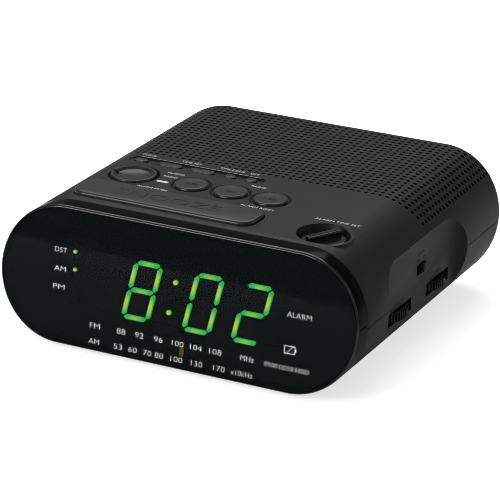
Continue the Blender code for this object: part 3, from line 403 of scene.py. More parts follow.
def drum(radius, low, high, at=(0.0, 0.0), steps=48):
    """An upright cylinder."""
    bm = bmesh.new()
    bmesh.ops.create_cone(
        bm, cap_ends=True, segments=steps, radius1=radius, radius2=radius, depth=high - low,
        matrix=shift(at[0], at[1], (low + high) / 2),
    )
    return bm


def turned(profile, at, steps=64):
    """A solid spun about an upright axis at this X and Y, from (radius, height) pairs."""
    bm = bmesh.new()
    verts = [bm.verts.new((r, 0, z)) for r, z in profile]
    edges = [bm.edges.new(pair) for pair in zip(verts, verts[1:])]
    if profile[0][0] > 0:
        edges.append(bm.edges.new((verts[-1], verts[0])))
    bmesh.ops.spin(
        bm, geom=verts + edges, axis=(0, 0, 1), cent=(0, 0, 0),
        angle=2 * math.pi, steps=steps, use_merge=True,
    )
    bmesh.ops.remove_doubles(bm, verts=bm.verts[:], dist=1e-6)
    outward(bm)
    bmesh.ops.translate(bm, verts=bm.verts[:], vec=(at[0], at[1], 0))
    return bm


def plane_y(z, from_front):
    """Depth of the leaning front, or of the overhanging back, at this height.

    Each plane's outermost point lies where its edge's rounding ends.
    """
    sizes = bpy.context.scene.radio_sizes
    rise = (z - BASE) / HEIGHT
    if from_front:
        return FRONT_Y - sizes.front_lean * FRONT_SOFT / HEIGHT + sizes.front_lean * rise
    return REAR_Y + sizes.back_lean * BACK_ROUND / HEIGHT - sizes.back_lean + sizes.back_lean * rise


def ring_points(inset):
    """Places on the cabinet's round-ended outline, in X and Z, whose sides touch the true arc."""
    half_step = math.pi / OUTLINE_STEPS
    bm = bmesh.new()
    bmesh.ops.create_circle(
        bm, cap_ends=False, segments=OUTLINE_STEPS, radius=RADIUS - inset,
        matrix=Matrix.Rotation(half_step, 4, "Z"),
    )
    half = WIDTH / 2 - RADIUS
    swell = 1 / math.cos(half_step)
    points = [
        (v.co.x * swell + math.copysign(half, v.co.x), MIDDLE + v.co.y * swell) for v in bm.verts
    ]
    bm.free()
    return points


def tube(*rings):
    """A solid through rings given as (inset, from the front?, distance from that face)."""
    bm = bmesh.new()
    loops = []
    for inset, from_front, away in rings:
        verts = []
        for x, z in ring_points(inset):
            y = plane_y(z, from_front)
            verts.append(bm.verts.new((x, y + away if from_front else y - away, z)))
        loops.append([bm.edges.new(pair) for pair in zip(verts, verts[1:] + verts[:1])])
    for first, second in zip(loops, loops[1:]):
        bmesh.ops.bridge_loops(bm, edges=first + second)
    bmesh.ops.contextual_create(bm, geom=loops[0])
    bmesh.ops.contextual_create(bm, geom=loops[-1])
    return outward(bm)


def front_frame():
    """Local X across, local Y up the leaning front, local Z out of it."""
    lean = math.atan2(bpy.context.scene.radio_sizes.front_lean, HEIGHT)
    origin = Vector((0, plane_y(BASE, True), BASE))
    return Matrix.Translation(origin) @ Matrix.Rotation(math.pi / 2 - lean, 4, "X")


def lettering(string, left, right, middle, cap, place, rise=PRINT, weight=-0.02):
    """Raised lettering stretched between left and right, on the plane that place gives.

    cap is its height, and weight thickens its strokes, or thins them below 0.
    """
    curve = bpy.data.curves.new("lettering", "FONT")
    curve.body = string
    curve.resolution_u = 3
    curve.extrude = 0.5
    curve.offset = weight
    holder = bpy.data.objects.new("lettering", curve)
    bpy.context.scene.collection.objects.link(holder)
    bm = applied(holder)
    bpy.data.objects.remove(holder, do_unlink=True)
    bpy.data.curves.remove(curve)
    bmesh.ops.remove_doubles(bm, verts=bm.verts[:], dist=1e-5)
    xs = [v.co.x for v in bm.verts]
    ys = [v.co.y for v in bm.verts]
    wide, tall = max(xs) - min(xs), max(ys) - min(ys)
    across = (right - left) / wide
    bmesh.ops.translate(bm, verts=bm.verts[:], vec=(-min(xs), -(max(ys) + min(ys)) / 2, 0))
    bmesh.ops.scale(bm, verts=bm.verts[:], vec=(across, cap / tall, rise))
    bmesh.ops.translate(bm, verts=bm.verts[:], vec=(left, middle, rise / 2))
    bm.transform(place)
    return bm


# Cabinet


def recess_tool(inward=0.0, beyond=2.0):
    """The scoop in the right side, wider towards the outside.

    inward leaves a wall behind it, and beyond is how far past the side it flares.
    """
    bm = bmesh.new()
    flare, corner = 4.5 * MM, 13 * MM
    floor = WIDTH / 2 - SCOOP_DEPTH - inward
    low, high = BASE - 9 * MM, MIDDLE + 15.5 * MM
    front, back = -38.35 * MM, 29.15 * MM
    middle = Vector(((front + back) / 2, (low + high) / 2))
    loops = []
    for share, reach in (
        (0.0, 0.0), (0.35, 0.8 * MM), (1.0, SCOOP_DEPTH), (beyond, 2 * SCOOP_DEPTH),
    ):
        grow = flare * share
        profile = block(
            (front - grow, low - grow, 0), (back + grow, high + grow, 1), corner + grow,
            corner_steps=12,
        )
        ring = [v.co.copy() for v in profile.verts if v.co.z > 0.5]
        ring.sort(key=lambda p: math.atan2(p.y - middle.y, p.x - middle.x))
        profile.free()
        verts = [bm.verts.new((floor + reach, p.x, p.y)) for p in ring]
        loops.append([bm.edges.new(pair) for pair in zip(verts, verts[1:] + verts[:1])])
    for first, second in zip(loops, loops[1:]):
        bmesh.ops.bridge_loops(bm, edges=first + second)
    bmesh.ops.contextual_create(bm, geom=loops[0])
    bmesh.ops.contextual_create(bm, geom=loops[-1])
    return outward(bm)


def case_solid():
    """The closed cabinet behind the smoked front, round at its back edge."""
    sizes = bpy.context.scene.radio_sizes
    rings = [
        (1.0 * MM, True, sizes.lens_depth),
        (0.35 * MM, True, sizes.lens_depth + 0.1 * MM),
        (0.0, True, sizes.lens_depth + 0.8 * MM),
    ]
    for step in range(9):
        angle = math.pi / 2 * step / 8
        rings.append(
            (BACK_ROUND * (1 - math.cos(angle)), False, BACK_ROUND * (1 - math.sin(angle)))
        )
    return tube(*rings)


def cavity_tool():
    """The hollow of the cabinet, which keeps its wall behind the scoop."""
    wall = bpy.context.scene.radio_sizes.wall
    hollow = tube((wall, True, 0.0), (wall, False, wall))
    return cut(hollow, recess_tool(wall, beyond=1.3))


def side_tools():
    """The two wheel slots and the band switch opening."""
    tools = []
    for node in ("volume_wheel", "tuning_wheel"):
        y, z = centre_of(node)[1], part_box(node)[1][2] - 2 * MM
        tools.append(block((60 * MM, y - 11 * MM, z - 2.6 * MM), (FAR, y + 11 * MM, z + 2.6 * MM)))
    y, z = centre_of("band_switch")[1:]
    tools.append(block((66 * MM, y - 4.1 * MM, z - 2.2 * MM), (FAR, y + 4.1 * MM, z + 2.2 * MM)))
    return merged(*tools)


def parting(upper):
    """What the other half of the cabinet fills, with the step across the scoop."""
    gap = 0.12 * MM
    tab = block((66 * MM, -43.7 * MM, MIDDLE - 9.1 * MM), (FAR, 34.6 * MM, MIDDLE + 3 * MM))
    if upper:
        below = block((-FAR, -FAR, -FAR), (FAR, FAR, MIDDLE + gap))
        return cut(below, tab)
    above = block((-FAR, -FAR, MIDDLE - gap), (FAR, FAR, FAR))
    return cut(above, tab, operation="UNION")


def grille_span():
    """Half width along the surface, and the front and back of the perforated field."""
    sizes = bpy.context.scene.radio_sizes
    half = sizes.hole_pitch * sizes.hole_columns / 2
    front = 3.12 * MM - sizes.hole_pitch / 2 + 0.4 * MM
    return half, front, front + sizes.hole_pitch * sizes.hole_rows


def wrapped(u, depth=0.0):
    """Where a distance across the top lands on the round-shouldered outline."""
    flat = WIDTH / 2 - RADIUS
    over = abs(u) - flat
    if over <= 0:
        return u, TOP - depth
    angle = over / RADIUS
    reach = RADIUS - depth
    return math.copysign(flat + reach * math.sin(angle), u), MIDDLE + reach * math.cos(angle)


class RADIO_OT_case(bpy.types.Operator):
    """Builds the two cabinet halves and the perforated speaker top"""

    bl_idname = "radio.case"
    bl_label = "Cabinet"

    def execute(self, context):
        shell = cut(case_solid(), cavity_tool(), recess_tool())
        spare = shell.copy()
        self.upper(shell)
        self.lower(spare)
        self.speaker_top(context.scene.radio_sizes)
        return {"FINISHED"}

    def upper(self, shell):
        """The top half with the grille's window and the wells of its controls."""
        span, front, back = grille_span()
        window_half, window_edge = wrapped(span)
        snooze_y, key_y = centre_of("snooze_bar")[1], centre_of("clock_key")[1]
        half, deep = (size + SNOOZE_GAP for size in SNOOZE_HALF)
        tools = [
            block((-window_half, front, window_edge - 4 * MM), (window_half, back, OVER)),
            block(
                (SNOOZE_X - half, snooze_y - deep, MIDDLE), (SNOOZE_X + half, snooze_y + deep, OVER),
                6.4 * MM,
            ),
        ]
        wells = [(node, 1.55, 0.9) for node in BUTTONS]
        wells += [("alarm_mode_dial", 1.3, 1.7), ("alarm_time_knob", 1.7, 4.1)]
        for node, grow, depth in wells:
            low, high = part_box(node)
            radius = BUTTON_RADIUS if node in BUTTONS else (high[0] - low[0]) / 2
            inner, outer, floor = radius + 0.4 * MM, radius + grow * MM, TOP - depth * MM
            outline = [
                (0, floor), (inner, floor), (outer, TOP + 0.02 * MM), (outer, OVER), (0, OVER),
            ]
            tools.append(turned(outline, centre_of(node)))
        tools.append(
            block(
                (-55.3 * MM, key_y - 3.1 * MM, TOP - 0.9 * MM), (4.7 * MM, key_y + 3.1 * MM, OVER),
                3.05 * MM,
            )
        )
        cups = [
            drum(radius * MM, TOP - depth * MM, TOP - 1 * MM, centre_of(node)[:2])
            for node, radius, depth in (
                ("alarm_time_knob", 11.2, 5.6), ("alarm_mode_dial", 11.0, 3.2),
            )
        ]
        upper = cut(shell, parting(True))
        upper = cut(upper, merged(*cups), operation="UNION")
        upper = cut(upper, merged(*tools), side_tools())
        made = piece("upper_case", upper, case_finish(), stands_for=("upper_cabinet",), smooth=30)
        soften(made)

    def lower(self, shell):
        """The bottom half with its vents, screw seats, foot pads, lid track and lead hole."""
        slot, pitch = 1 * MM, 5 * MM
        vents = [
            block(
                (n * pitch - 25 * MM - slot, 46 * MM, UNDER), (n * pitch - 25 * MM + slot, 60 * MM, 6 * MM),
                0.95 * MM,
            )
            for n in range(11)
        ]
        seats = [
            drum(3.2 * MM, UNDER, 10.4 * MM, (side * 64 * MM, end * 50 * MM), 32)
            for side in (-1, 1)
            for end in (-1, 1)
        ]
        pads = [
            drum(5.3 * MM, UNDER, BASE + 0.8 * MM, (side * 40 * MM, y), 32)
            for side in (-1, 1)
            for y in (-56 * MM, 50 * MM)
        ]
        low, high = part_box("battery_lid")
        lid = block(
            (low[0] + 0.9 * MM, low[1] - 0.3 * MM, UNDER),
            (high[0] - 0.9 * MM, high[1] + 11.3 * MM, low[2] + 1.7 * MM),
            0.8 * MM,
        )
        back_angle = math.atan2(bpy.context.scene.radio_sizes.back_lean, HEIGHT)
        inlet = drum(5.3 * MM, -6 * MM, 6 * MM, steps=40)
        inlet.transform(
            shift(*centre_of("cord_inlet")) @ Matrix.Rotation(math.pi / 2 + back_angle, 4, "X")
        )
        fittings = merged(*seats, *pads, lid, inlet)
        lower = cut(shell, parting(False), fittings, merged(*vents), side_tools())
        made = piece("lower_case", lower, case_finish(), stands_for=("lower_cabinet",), smooth=30)
        soften(made)

    def speaker_top(self, sizes):
        """One cell with its hole, repeated over the field and wrapped round the shoulders."""
        half, front, back = grille_span()
        pitch = sizes.hole_pitch
        bm = bmesh.new()
        outer = bmesh.ops.create_circle(bm, cap_ends=False, segments=8, radius=pitch / 2)["verts"]
        for vert in outer:
            largest = max(abs(vert.co.x), abs(vert.co.y))
            vert.co *= pitch / 2 / largest
        inner = bmesh.ops.create_circle(
            bm, cap_ends=False, segments=8, radius=sizes.hole_radius
        )["verts"]
        bmesh.ops.bridge_loops(bm, edges=bm.edges[:])
        rim = [e for e in bm.edges if e.verts[0] in inner and e.verts[1] in inner]
        lip = bmesh.ops.extrude_edge_only(bm, edges=rim)["geom"]
        moved(bm, lip, (0, 0, -1.2 * MM))
        moved(bm, bm.verts[:], (-half + pitch / 2, front + pitch / 2, 0))
        cell = bm.verts[:] + bm.edges[:] + bm.faces[:]
        row = list(cell)
        for column in range(1, sizes.hole_columns):
            row += moved(bm, bmesh.ops.duplicate(bm, geom=cell)["geom"], (pitch * column, 0, 0))
        for line in range(1, sizes.hole_rows):
            moved(bm, bmesh.ops.duplicate(bm, geom=row)["geom"], (0, pitch * line, 0))
        bmesh.ops.remove_doubles(bm, verts=bm.verts[:], dist=1e-5)
        bmesh.ops.recalc_face_normals(bm, faces=bm.faces[:])
        for vert in bm.verts:
            x, z = wrapped(vert.co.x, -vert.co.z)
            vert.co = (x, vert.co.y, z)
        top = [f for f in bm.faces if abs(f.normal.y) < 0.5 and f.calc_center_median().z > 0]
        if sum(f.normal.z for f in top) < 0:
            bmesh.ops.reverse_faces(bm, faces=bm.faces[:])
        piece("speaker_grille", bm, case_finish(), smooth=40)
        # A near-black sheet just under the holes: painted shade, standing in for the shaded inside of the
        # cabinet seen through them.
        shade_sheet = bmesh.new()
        bmesh.ops.create_grid(shade_sheet, x_segments=96, y_segments=2, size=0.5)
        for vert in shade_sheet.verts:
            u, y = vert.co.x * 2 * half, front + (vert.co.y + 0.5) * (back - front)
            x, z = wrapped(u, 1.25 * MM)
            vert.co = (x, y, z)
        black = finish("painted_hole_shade_black", (0.004, 0.004, 0.004), 0.9, 2600.0, 0.05)
        piece("painted_hole_shade", shade_sheet, black, smooth=40)


def moved(bm, geometry, by):
    """The geometry, after its vertices have moved."""
    verts = [item for item in geometry if isinstance(item, bmesh.types.BMVert)]
    bmesh.ops.translate(bm, verts=verts, vec=by)
    return geometry


def soften(obj):
    """A small round on every sharp edge."""
    edge = obj.modifiers.new("soft edges", "BEVEL")
    edge.width = 0.3 * MM
    edge.segments = 2
    edge.limit_method = "ANGLE"
    edge.angle_limit = math.radians(48)
    edge.use_clamp_overlap = True


# Front


SEGMENTS_OF = {"8": "abcdefg", "0": "abcdef", "2": "abdeg", " ": ""}


def glowing(bm, share):
    """Gives each vertex of the lamp's face its share of the glow."""
    layer = bm.verts.layers.float.new("glow")
    top = max(v.co.z for v in bm.verts)
    rim = {v for e in bm.edges if is_upright(e, 0.1 * MM) for v in e.verts}
    for vert in bm.verts:
        if vert.co.z > top - 1e-7:
            vert[layer] = share(vert.co) * (0.15 if vert in rim else 1.0)
    return bm


def segment_bar(level, length, thick):
    """One bar of a digit with pointed ends, brightest half way along."""
    bm = block((-length / 2, -thick / 2, -0.8 * MM), (length / 2, thick / 2, 0))
    bevelled(bm, [e for e in bm.edges if is_upright(e, 0.1 * MM)], thick * 0.46, 1)
    for share in (-0.36, -0.2, 0.0, 0.2, 0.36):
        bmesh.ops.bisect_plane(
            bm, geom=bm.verts[:] + bm.edges[:] + bm.faces[:],
            plane_co=(share * length, 0, 0), plane_no=(1, 0, 0),
        )
    face = [f for f in bm.faces if f.normal.z > 0.9]
    bmesh.ops.inset_region(bm, faces=face, thickness=thick * 0.22, use_even_offset=True)
    peak = 0.6 if level else 1.0
    glowing(bm, lambda at: peak * max(0.0, 1 - (2.4 * at.x / length) ** 2))
    if not level:
        bmesh.ops.rotate(bm, verts=bm.verts[:], cent=(0, 0, 0), matrix=turn(90).to_3x3())
    return bm


def lamp_dot(radius):
    """A round lamp, bright in its middle."""
    dot = drum(radius, -0.8 * MM, 0, steps=24)
    face = [f for f in dot.faces if f.normal.z > 0.9]
    bmesh.ops.inset_region(dot, faces=face, thickness=radius * 0.35, use_even_offset=True)
    return glowing(dot, lambda at: 1.0)


class RADIO_OT_front(bpy.types.Operator):
    """Builds the smoked front, the lit digits and the printed dial"""

    bl_idname = "radio.front"
    bl_label = "Front"

    def execute(self, context):
        self.smoked_front(context.scene.radio_sizes.lens_depth)
        self.digits(context.scene.radio_colours)
        self.pointer()
        self.dial()
        return {"FINISHED"}

    def smoked_front(self, depth):
        """The hollow front: a smoked face, a glossy rounded edge and a black rim."""
        rings = []
        for step in range(6):
            angle = math.pi / 2 * step / 5
            rings.append((FRONT_SOFT * (1 - math.sin(angle)), True, FRONT_SOFT * (1 - math.cos(angle))))
        rings.append((0.0, True, depth - 0.9 * MM))
        rings.append((0.6 * MM, True, depth - 0.3 * MM))
        hollow = tube((2 * MM, True, 2 * MM), (2 * MM, True, 20 * MM))
        notches = merged(
            *(
                block(
                    (side * WIDTH / 2 - 0.4 * MM, FRONT_Y + 6 * MM, MIDDLE + 1.4 * MM),
                    (side * WIDTH / 2 + 0.4 * MM, FRONT_Y + 16 * MM, MIDDLE + 1.8 * MM),
                )
                for side in (-1, 1)
            )
        )
        lens = cut(tube(*rings), hollow, notches)
        outwards = front_frame().to_3x3() @ Vector((0, 0, 1))
        face_area = 1000 * MM**2
        for face in lens.faces:
            edge = 0.25 < face.normal.dot(outwards) < 0.98
            face.material_index = 0 if face.calc_area() > face_area else 2 if edge else 1
        smoked = finish(
            "smoked_acrylic", (0.004, 0.006, 0.006), 0.05, 400.0, 0, 0.05, specular=0.1, alpha=0.62
        )
        made = piece("smoked_front", lens, smoked, stands_for=("front_lens",), smooth=40)
        rim = finish("rim_black", (0.001, 0.0013, 0.0013), 0.15, 400.0, 0, 0.05, specular=0.03)
        made.data.materials.append(rim)
        made.data.materials.append(finish("edge_gloss", (0.004, 0.005, 0.005), 0.1, 400.0, 0, 0.05))

    def digits(self, colours):
        """Four digits, the colon and the lamps beside them, lit and unlit."""
        place = front_frame() @ shift(0, 0, -LAMPS_BEHIND)
        lit_bars, dark_bars = [], []
        width, height, thick, gap = 10.4 * MM, 21.7 * MM, 1.8 * MM, 1.1 * MM
        middle, lean_over = 26.55 * MM, 4.0 * MM
        slant = Matrix.Identity(4)
        slant[0][1] = lean_over / height
        bars = {
            "a": (0, 1, True), "g": (0, 0, True), "d": (0, -1, True),
            "f": (-1, 0.5, False), "b": (1, 0.5, False),
            "e": (-1, -0.5, False), "c": (1, -0.5, False),
        }
        for string, x in ((" ", -35.8), ("8", -15.1), ("0", 11.0), ("2", 31.7)):
            for name, (across, up, level) in bars.items():
                bar = segment_bar(level, (width if level else height / 2) - gap, thick)
                seat = shift(across * width / 2, up * height / 2)
                bar.transform(place @ shift(x * MM, middle) @ slant @ seat)
                (lit_bars if name in SEGMENTS_OF[string] else dark_bars).append(bar)
        for x, up, radius, bars_of in (
            (-1.2, 32.6, 1.0, lit_bars), (-3.0, 20.6, 1.0, lit_bars),
            (-45.1, 36.6, 0.75, lit_bars), (-44.6, 29.6, 0.75, lit_bars),
            (-44.2, 22.6, 0.75, dark_bars),
        ):
            dot = lamp_dot(radius * MM)
            dot.transform(place @ shift(x * MM, up * MM))
            bars_of.append(dot)
        glow = lit("segment_green", colours.segment, colours.segment_core, 7.0)
        piece("lit_segments", merged(*lit_bars), glow, smooth=0)
        unlit = finish("segment_dark", (0.004, 0.006, 0.005), 0.6, depth=0, specular=0.1)
        piece("unlit_segments", merged(*dark_bars), unlit, smooth=0)

    def pointer(self):
        """The amber needle in front of the plate, on its black carriage."""
        x, _, z = centre_of("dial_pointer")
        lean = math.atan2(bpy.context.scene.radio_sizes.front_lean, HEIGHT)
        place = front_frame() @ shift(x, (z - BASE) / math.cos(lean))
        slide = block((-3.9 * MM, -1.7 * MM, -6.6 * MM), (3.9 * MM, 1.7 * MM, -4.3 * MM))
        stem = block((-0.45 * MM, -1.3 * MM, -5.0 * MM), (0.45 * MM, 1.3 * MM, -LAMPS_BEHIND))
        carriage = cut(slide, stem, operation="UNION")
        carriage.transform(place)
        inner = finish("carriage_black", (0.004, 0.004, 0.004), 0.7, depth=0, specular=0.1)
        piece("pointer_carriage", carriage, inner, "dial_pointer", ("dial_pointer",), 0)
        needle = block((-0.85 * MM, -1.8 * MM, -LAMPS_BEHIND), (0.85 * MM, 1.8 * MM, -2.08 * MM))
        needle.transform(place)
        amber = (0.20, 0.13, 0.012)
        glow = lit("pointer_glow", amber, amber, 3.0)
        piece("pointer_needle", needle, glow, "dial_pointer", smooth=0)

    def dial(self):
        """The printed scales, the words beside the lamps and the sign for the backup cell.

        Each row has its height up the front, its cap height, and words from left to right, in
        millimetres.
        """
        place = front_frame() @ shift(0, 0, LIFT)
        rows = (
            (36.9, 1.9, (("DST", -52.6, -47.3),)),
            (29.6, 1.9, (("AM", -52.2, -47.2),)),
            (22.5, 1.9, (("PM", -52.2, -47.2),)),
            (9.8, 1.75, (("FM/AM CLOCK RADIO", 39.8, 57.9),)),
            (30.3, 2.0, (("ALARM", 47.0, 56.9),)),
            (
                10.1, 2.05,
                (
                    ("FM", -34.9, -30.5), ("88", -23.1, -19.4), ("92", -15.2, -11.5), ("96", -7.0, -3.3),
                    ("100", 0.7, 5.6), ("104", 8.5, 13.4), ("108", 16.6, 21.7), ("MHz", 29.7, 35.2),
                ),
            ),
            (
                3.95, 2.05,
                (
                    ("AM", -34.9, -30.3), ("53", -23.9, -20.3), ("60", -17.5, -13.9),
                    ("70", -11.1, -7.6), ("80", -6.1, -2.5), ("100", 0.7, 5.7),
                    ("130", 9.4, 14.2), ("170", 18.8, 23.6), ("x10kHz", 26.2, 35.3),
                ),
            ),
        )
        letters = [
            lettering(string, left * MM, right * MM, v * MM, cap * MM, place)
            for v, cap, words in rows
            for string, left, right in words
        ]
        left, right, half, line, nub = -2.0, 1.6, 1.2, 0.17, (2.0, 0.5)
        icon = merged(
            *(
                block((x0 * MM, y0 * MM, 0), (x1 * MM, y1 * MM, PRINT))
                for x0, y0, x1, y1 in (
                    (left, -half, right, line - half),
                    (left, half - line, right, half),
                    (left, line - half, left + line, half - line),
                    (right - line, line - half, right, half - line),
                    (right, -nub[1], nub[0], nub[1]),
                )
            )
        )
        icon.transform(place @ shift(49.6 * MM, 16.9 * MM) @ Matrix.Diagonal((1.25, 1.25, 1, 1)))
        slash = block((-2.5 * MM, -0.09 * MM, 0), (2.5 * MM, 0.09 * MM, PRINT))
        slash.transform(place @ shift(49.4 * MM, 16.9 * MM, PRINT) @ turn(48))
        piece("front_legends", merged(*letters, icon, slash), legend_finish(), smooth=0)


# Top controls


class RADIO_OT_keys(bpy.types.Operator):
    """Builds the snooze bar, the keys, the dial, the knob and their printed legends"""

    bl_idname = "radio.keys"
    bl_label = "Top controls"

    def execute(self, context):
        self.snooze()
        for node, (word, half) in BUTTONS.items():
            self.button(node, word, half)
        for node in KEYS:
            self.key(node)
        self.mode_dial()
        self.time_knob()
        self.legends()
        return {"FINISHED"}

    def snooze(self):
        x, y, high = SNOOZE_X, centre_of("snooze_bar")[1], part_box("snooze_bar")[1][2]
        half, deep = SNOOZE_HALF
        bar = block(
            (x - half, y - deep, TOP - 3 * MM), (x + half, y + deep, high), 6 * MM, 1.2 * MM, 10, 5
        )
        piece("snooze_pad", bar, key_finish(), "snooze_bar", ("snooze_bar",), 40)
        words = lettering(
            "SNOOZE", x - 22 * MM, x + 22 * MM, y, 5.2 * MM, shift(0, 0, high - 0.05 * MM), 0.16 * MM
        )
        piece("snooze_lettering", words, key_finish(), "snooze_bar", smooth=0)

    def button(self, node, word, half):
        """A dished button with its word, which is twice half wide."""
        at, top = centre_of(node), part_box(node)[1][2]
        outline = [
            (0, TOP - 2.6 * MM), (BUTTON_RADIUS, TOP - 2.6 * MM), (BUTTON_RADIUS, top - 0.8 * MM),
            (6.75 * MM, top - 0.35 * MM), (6.4 * MM, top - 0.08 * MM), (5.9 * MM, top),
            (4.5 * MM, top - 0.14 * MM), (2.4 * MM, top - 0.3 * MM), (0, top - 0.36 * MM),
        ]
        piece(f"{node}_cap", turned(outline, at), key_finish(), node, (node,), 50)
        words = lettering(
            word, at[0] - half, at[0] + half, at[1], 2.0 * MM, shift(0, 0, top - 0.45 * MM), 0.24 * MM
        )
        piece(f"{node}_lettering", words, key_finish(), node, smooth=0)

    def key(self, node):
        at, (low, high) = centre_of(node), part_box(node)
        half = (high[0] - low[0]) / 2 - 1.3 * MM
        if node == "clock_key":
            half, at[0] = 3.0 * MM, -50.0 * MM
        key = block(
            (at[0] - half, at[1] - 1.8 * MM, TOP - 2.6 * MM), (at[0] + half, at[1] + 1.8 * MM, high[2]),
            1.78 * MM, 0.5 * MM, 8, 3,
        )
        piece(f"{node}_cap", key, key_finish(), node, (node,), 40)

    def mode_dial(self):
        """A dial with a raised rim, and a notch that points at its mode."""
        node = "alarm_mode_dial"
        at, top = centre_of(node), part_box(node)[1][2]
        outline = [
            (0, TOP - 1.4 * MM), (9.2 * MM, TOP - 1.4 * MM), (9.2 * MM, top - 0.5 * MM),
            (9.0 * MM, top - 0.15 * MM), (8.6 * MM, top), (7.9 * MM, top - 0.1 * MM),
            (7.3 * MM, top - 0.9 * MM), (6.6 * MM, top - 1.3 * MM), (0, top - 1.4 * MM),
        ]
        notch = block(
            (-0.8 * MM, 5.6 * MM, top - 1.5 * MM), (0.8 * MM, 10.5 * MM, top + 1 * MM), 0.5 * MM
        )
        notch.transform(shift(at[0], at[1]) @ turn(95))
        piece("mode_dial", cut(turned(outline, at, 96), notch), key_finish(), node, (node,), 40)

    def time_knob(self):
        """A sunken knob with a ridge across it."""
        node = "alarm_time_knob"
        at, base = centre_of(node), TOP - 1.8 * MM
        outline = [
            (0, TOP - 3.8 * MM), (8.8 * MM, TOP - 3.8 * MM), (8.8 * MM, base - 0.8 * MM),
            (8.55 * MM, base - 0.25 * MM), (7.9 * MM, base), (5.0 * MM, base - 0.3 * MM),
            (0, base - 0.4 * MM),
        ]
        ridge = block(
            (-7.8 * MM, -1.7 * MM, base - 1.0 * MM), (7.8 * MM, 1.7 * MM, TOP + 0.3 * MM),
            1.2 * MM, 0.7 * MM, 6, 4,
        )
        ridge.transform(shift(at[0], at[1]) @ turn(62))
        knob = cut(turned(outline, at, 72), ridge, operation="UNION")
        piece("time_knob", knob, gloss_finish(), node, (node,), 40)

    def legends(self):
        """Printed words from left to right, each with its Y and cap height, and two marks."""
        place = shift(0, 0, TOP + LIFT)
        words = (
            ("CLOCK", -52.2, -45.9, 0.4, 1.5), ("TIME SET", -34.6, -25.6, 0.4, 1.5),
            ("TIME ZONE", -17.4, -6.6, 0.8, 1.5), ("DST", -3.9, -0.2, 0.8, 1.5),
            ("BUZZER", -33.2, -25.6, -14.0, 1.45), ("RADIO", -32.8, -26.8, -18.2, 1.45),
            ("ALARM MODE", -36.6, -23.4, -32.8, 1.5), ("RADIO", 2.6, 8.8, -11.6, 1.45),
            ("ALARM RESET", 8.2, 22.4, -32.4, 1.5), ("ALARM TIME SET", 39.4, 58.2, -31.6, 1.6),
        )
        made = [
            lettering(string, left * MM, right * MM, y * MM, cap * MM, place, weight=-0.005)
            for string, left, right, y, cap in words
        ]
        patch = block((-32.6 * MM, -25.4 * MM, TOP), (-27.6 * MM, -23.6 * MM, TOP + PRINT), 0.4 * MM)
        line = block((-52.0 * MM, -2.35 * MM, TOP), (2.0 * MM, -2.19 * MM, TOP + PRINT))
        print_grey = finish("legend_grey", (0.62, 0.62, 0.63), 0.5, 1200.0, 0, 0.05)
        piece("top_legends", merged(*made, patch, line), print_grey, smooth=0)


# Side, base and inside


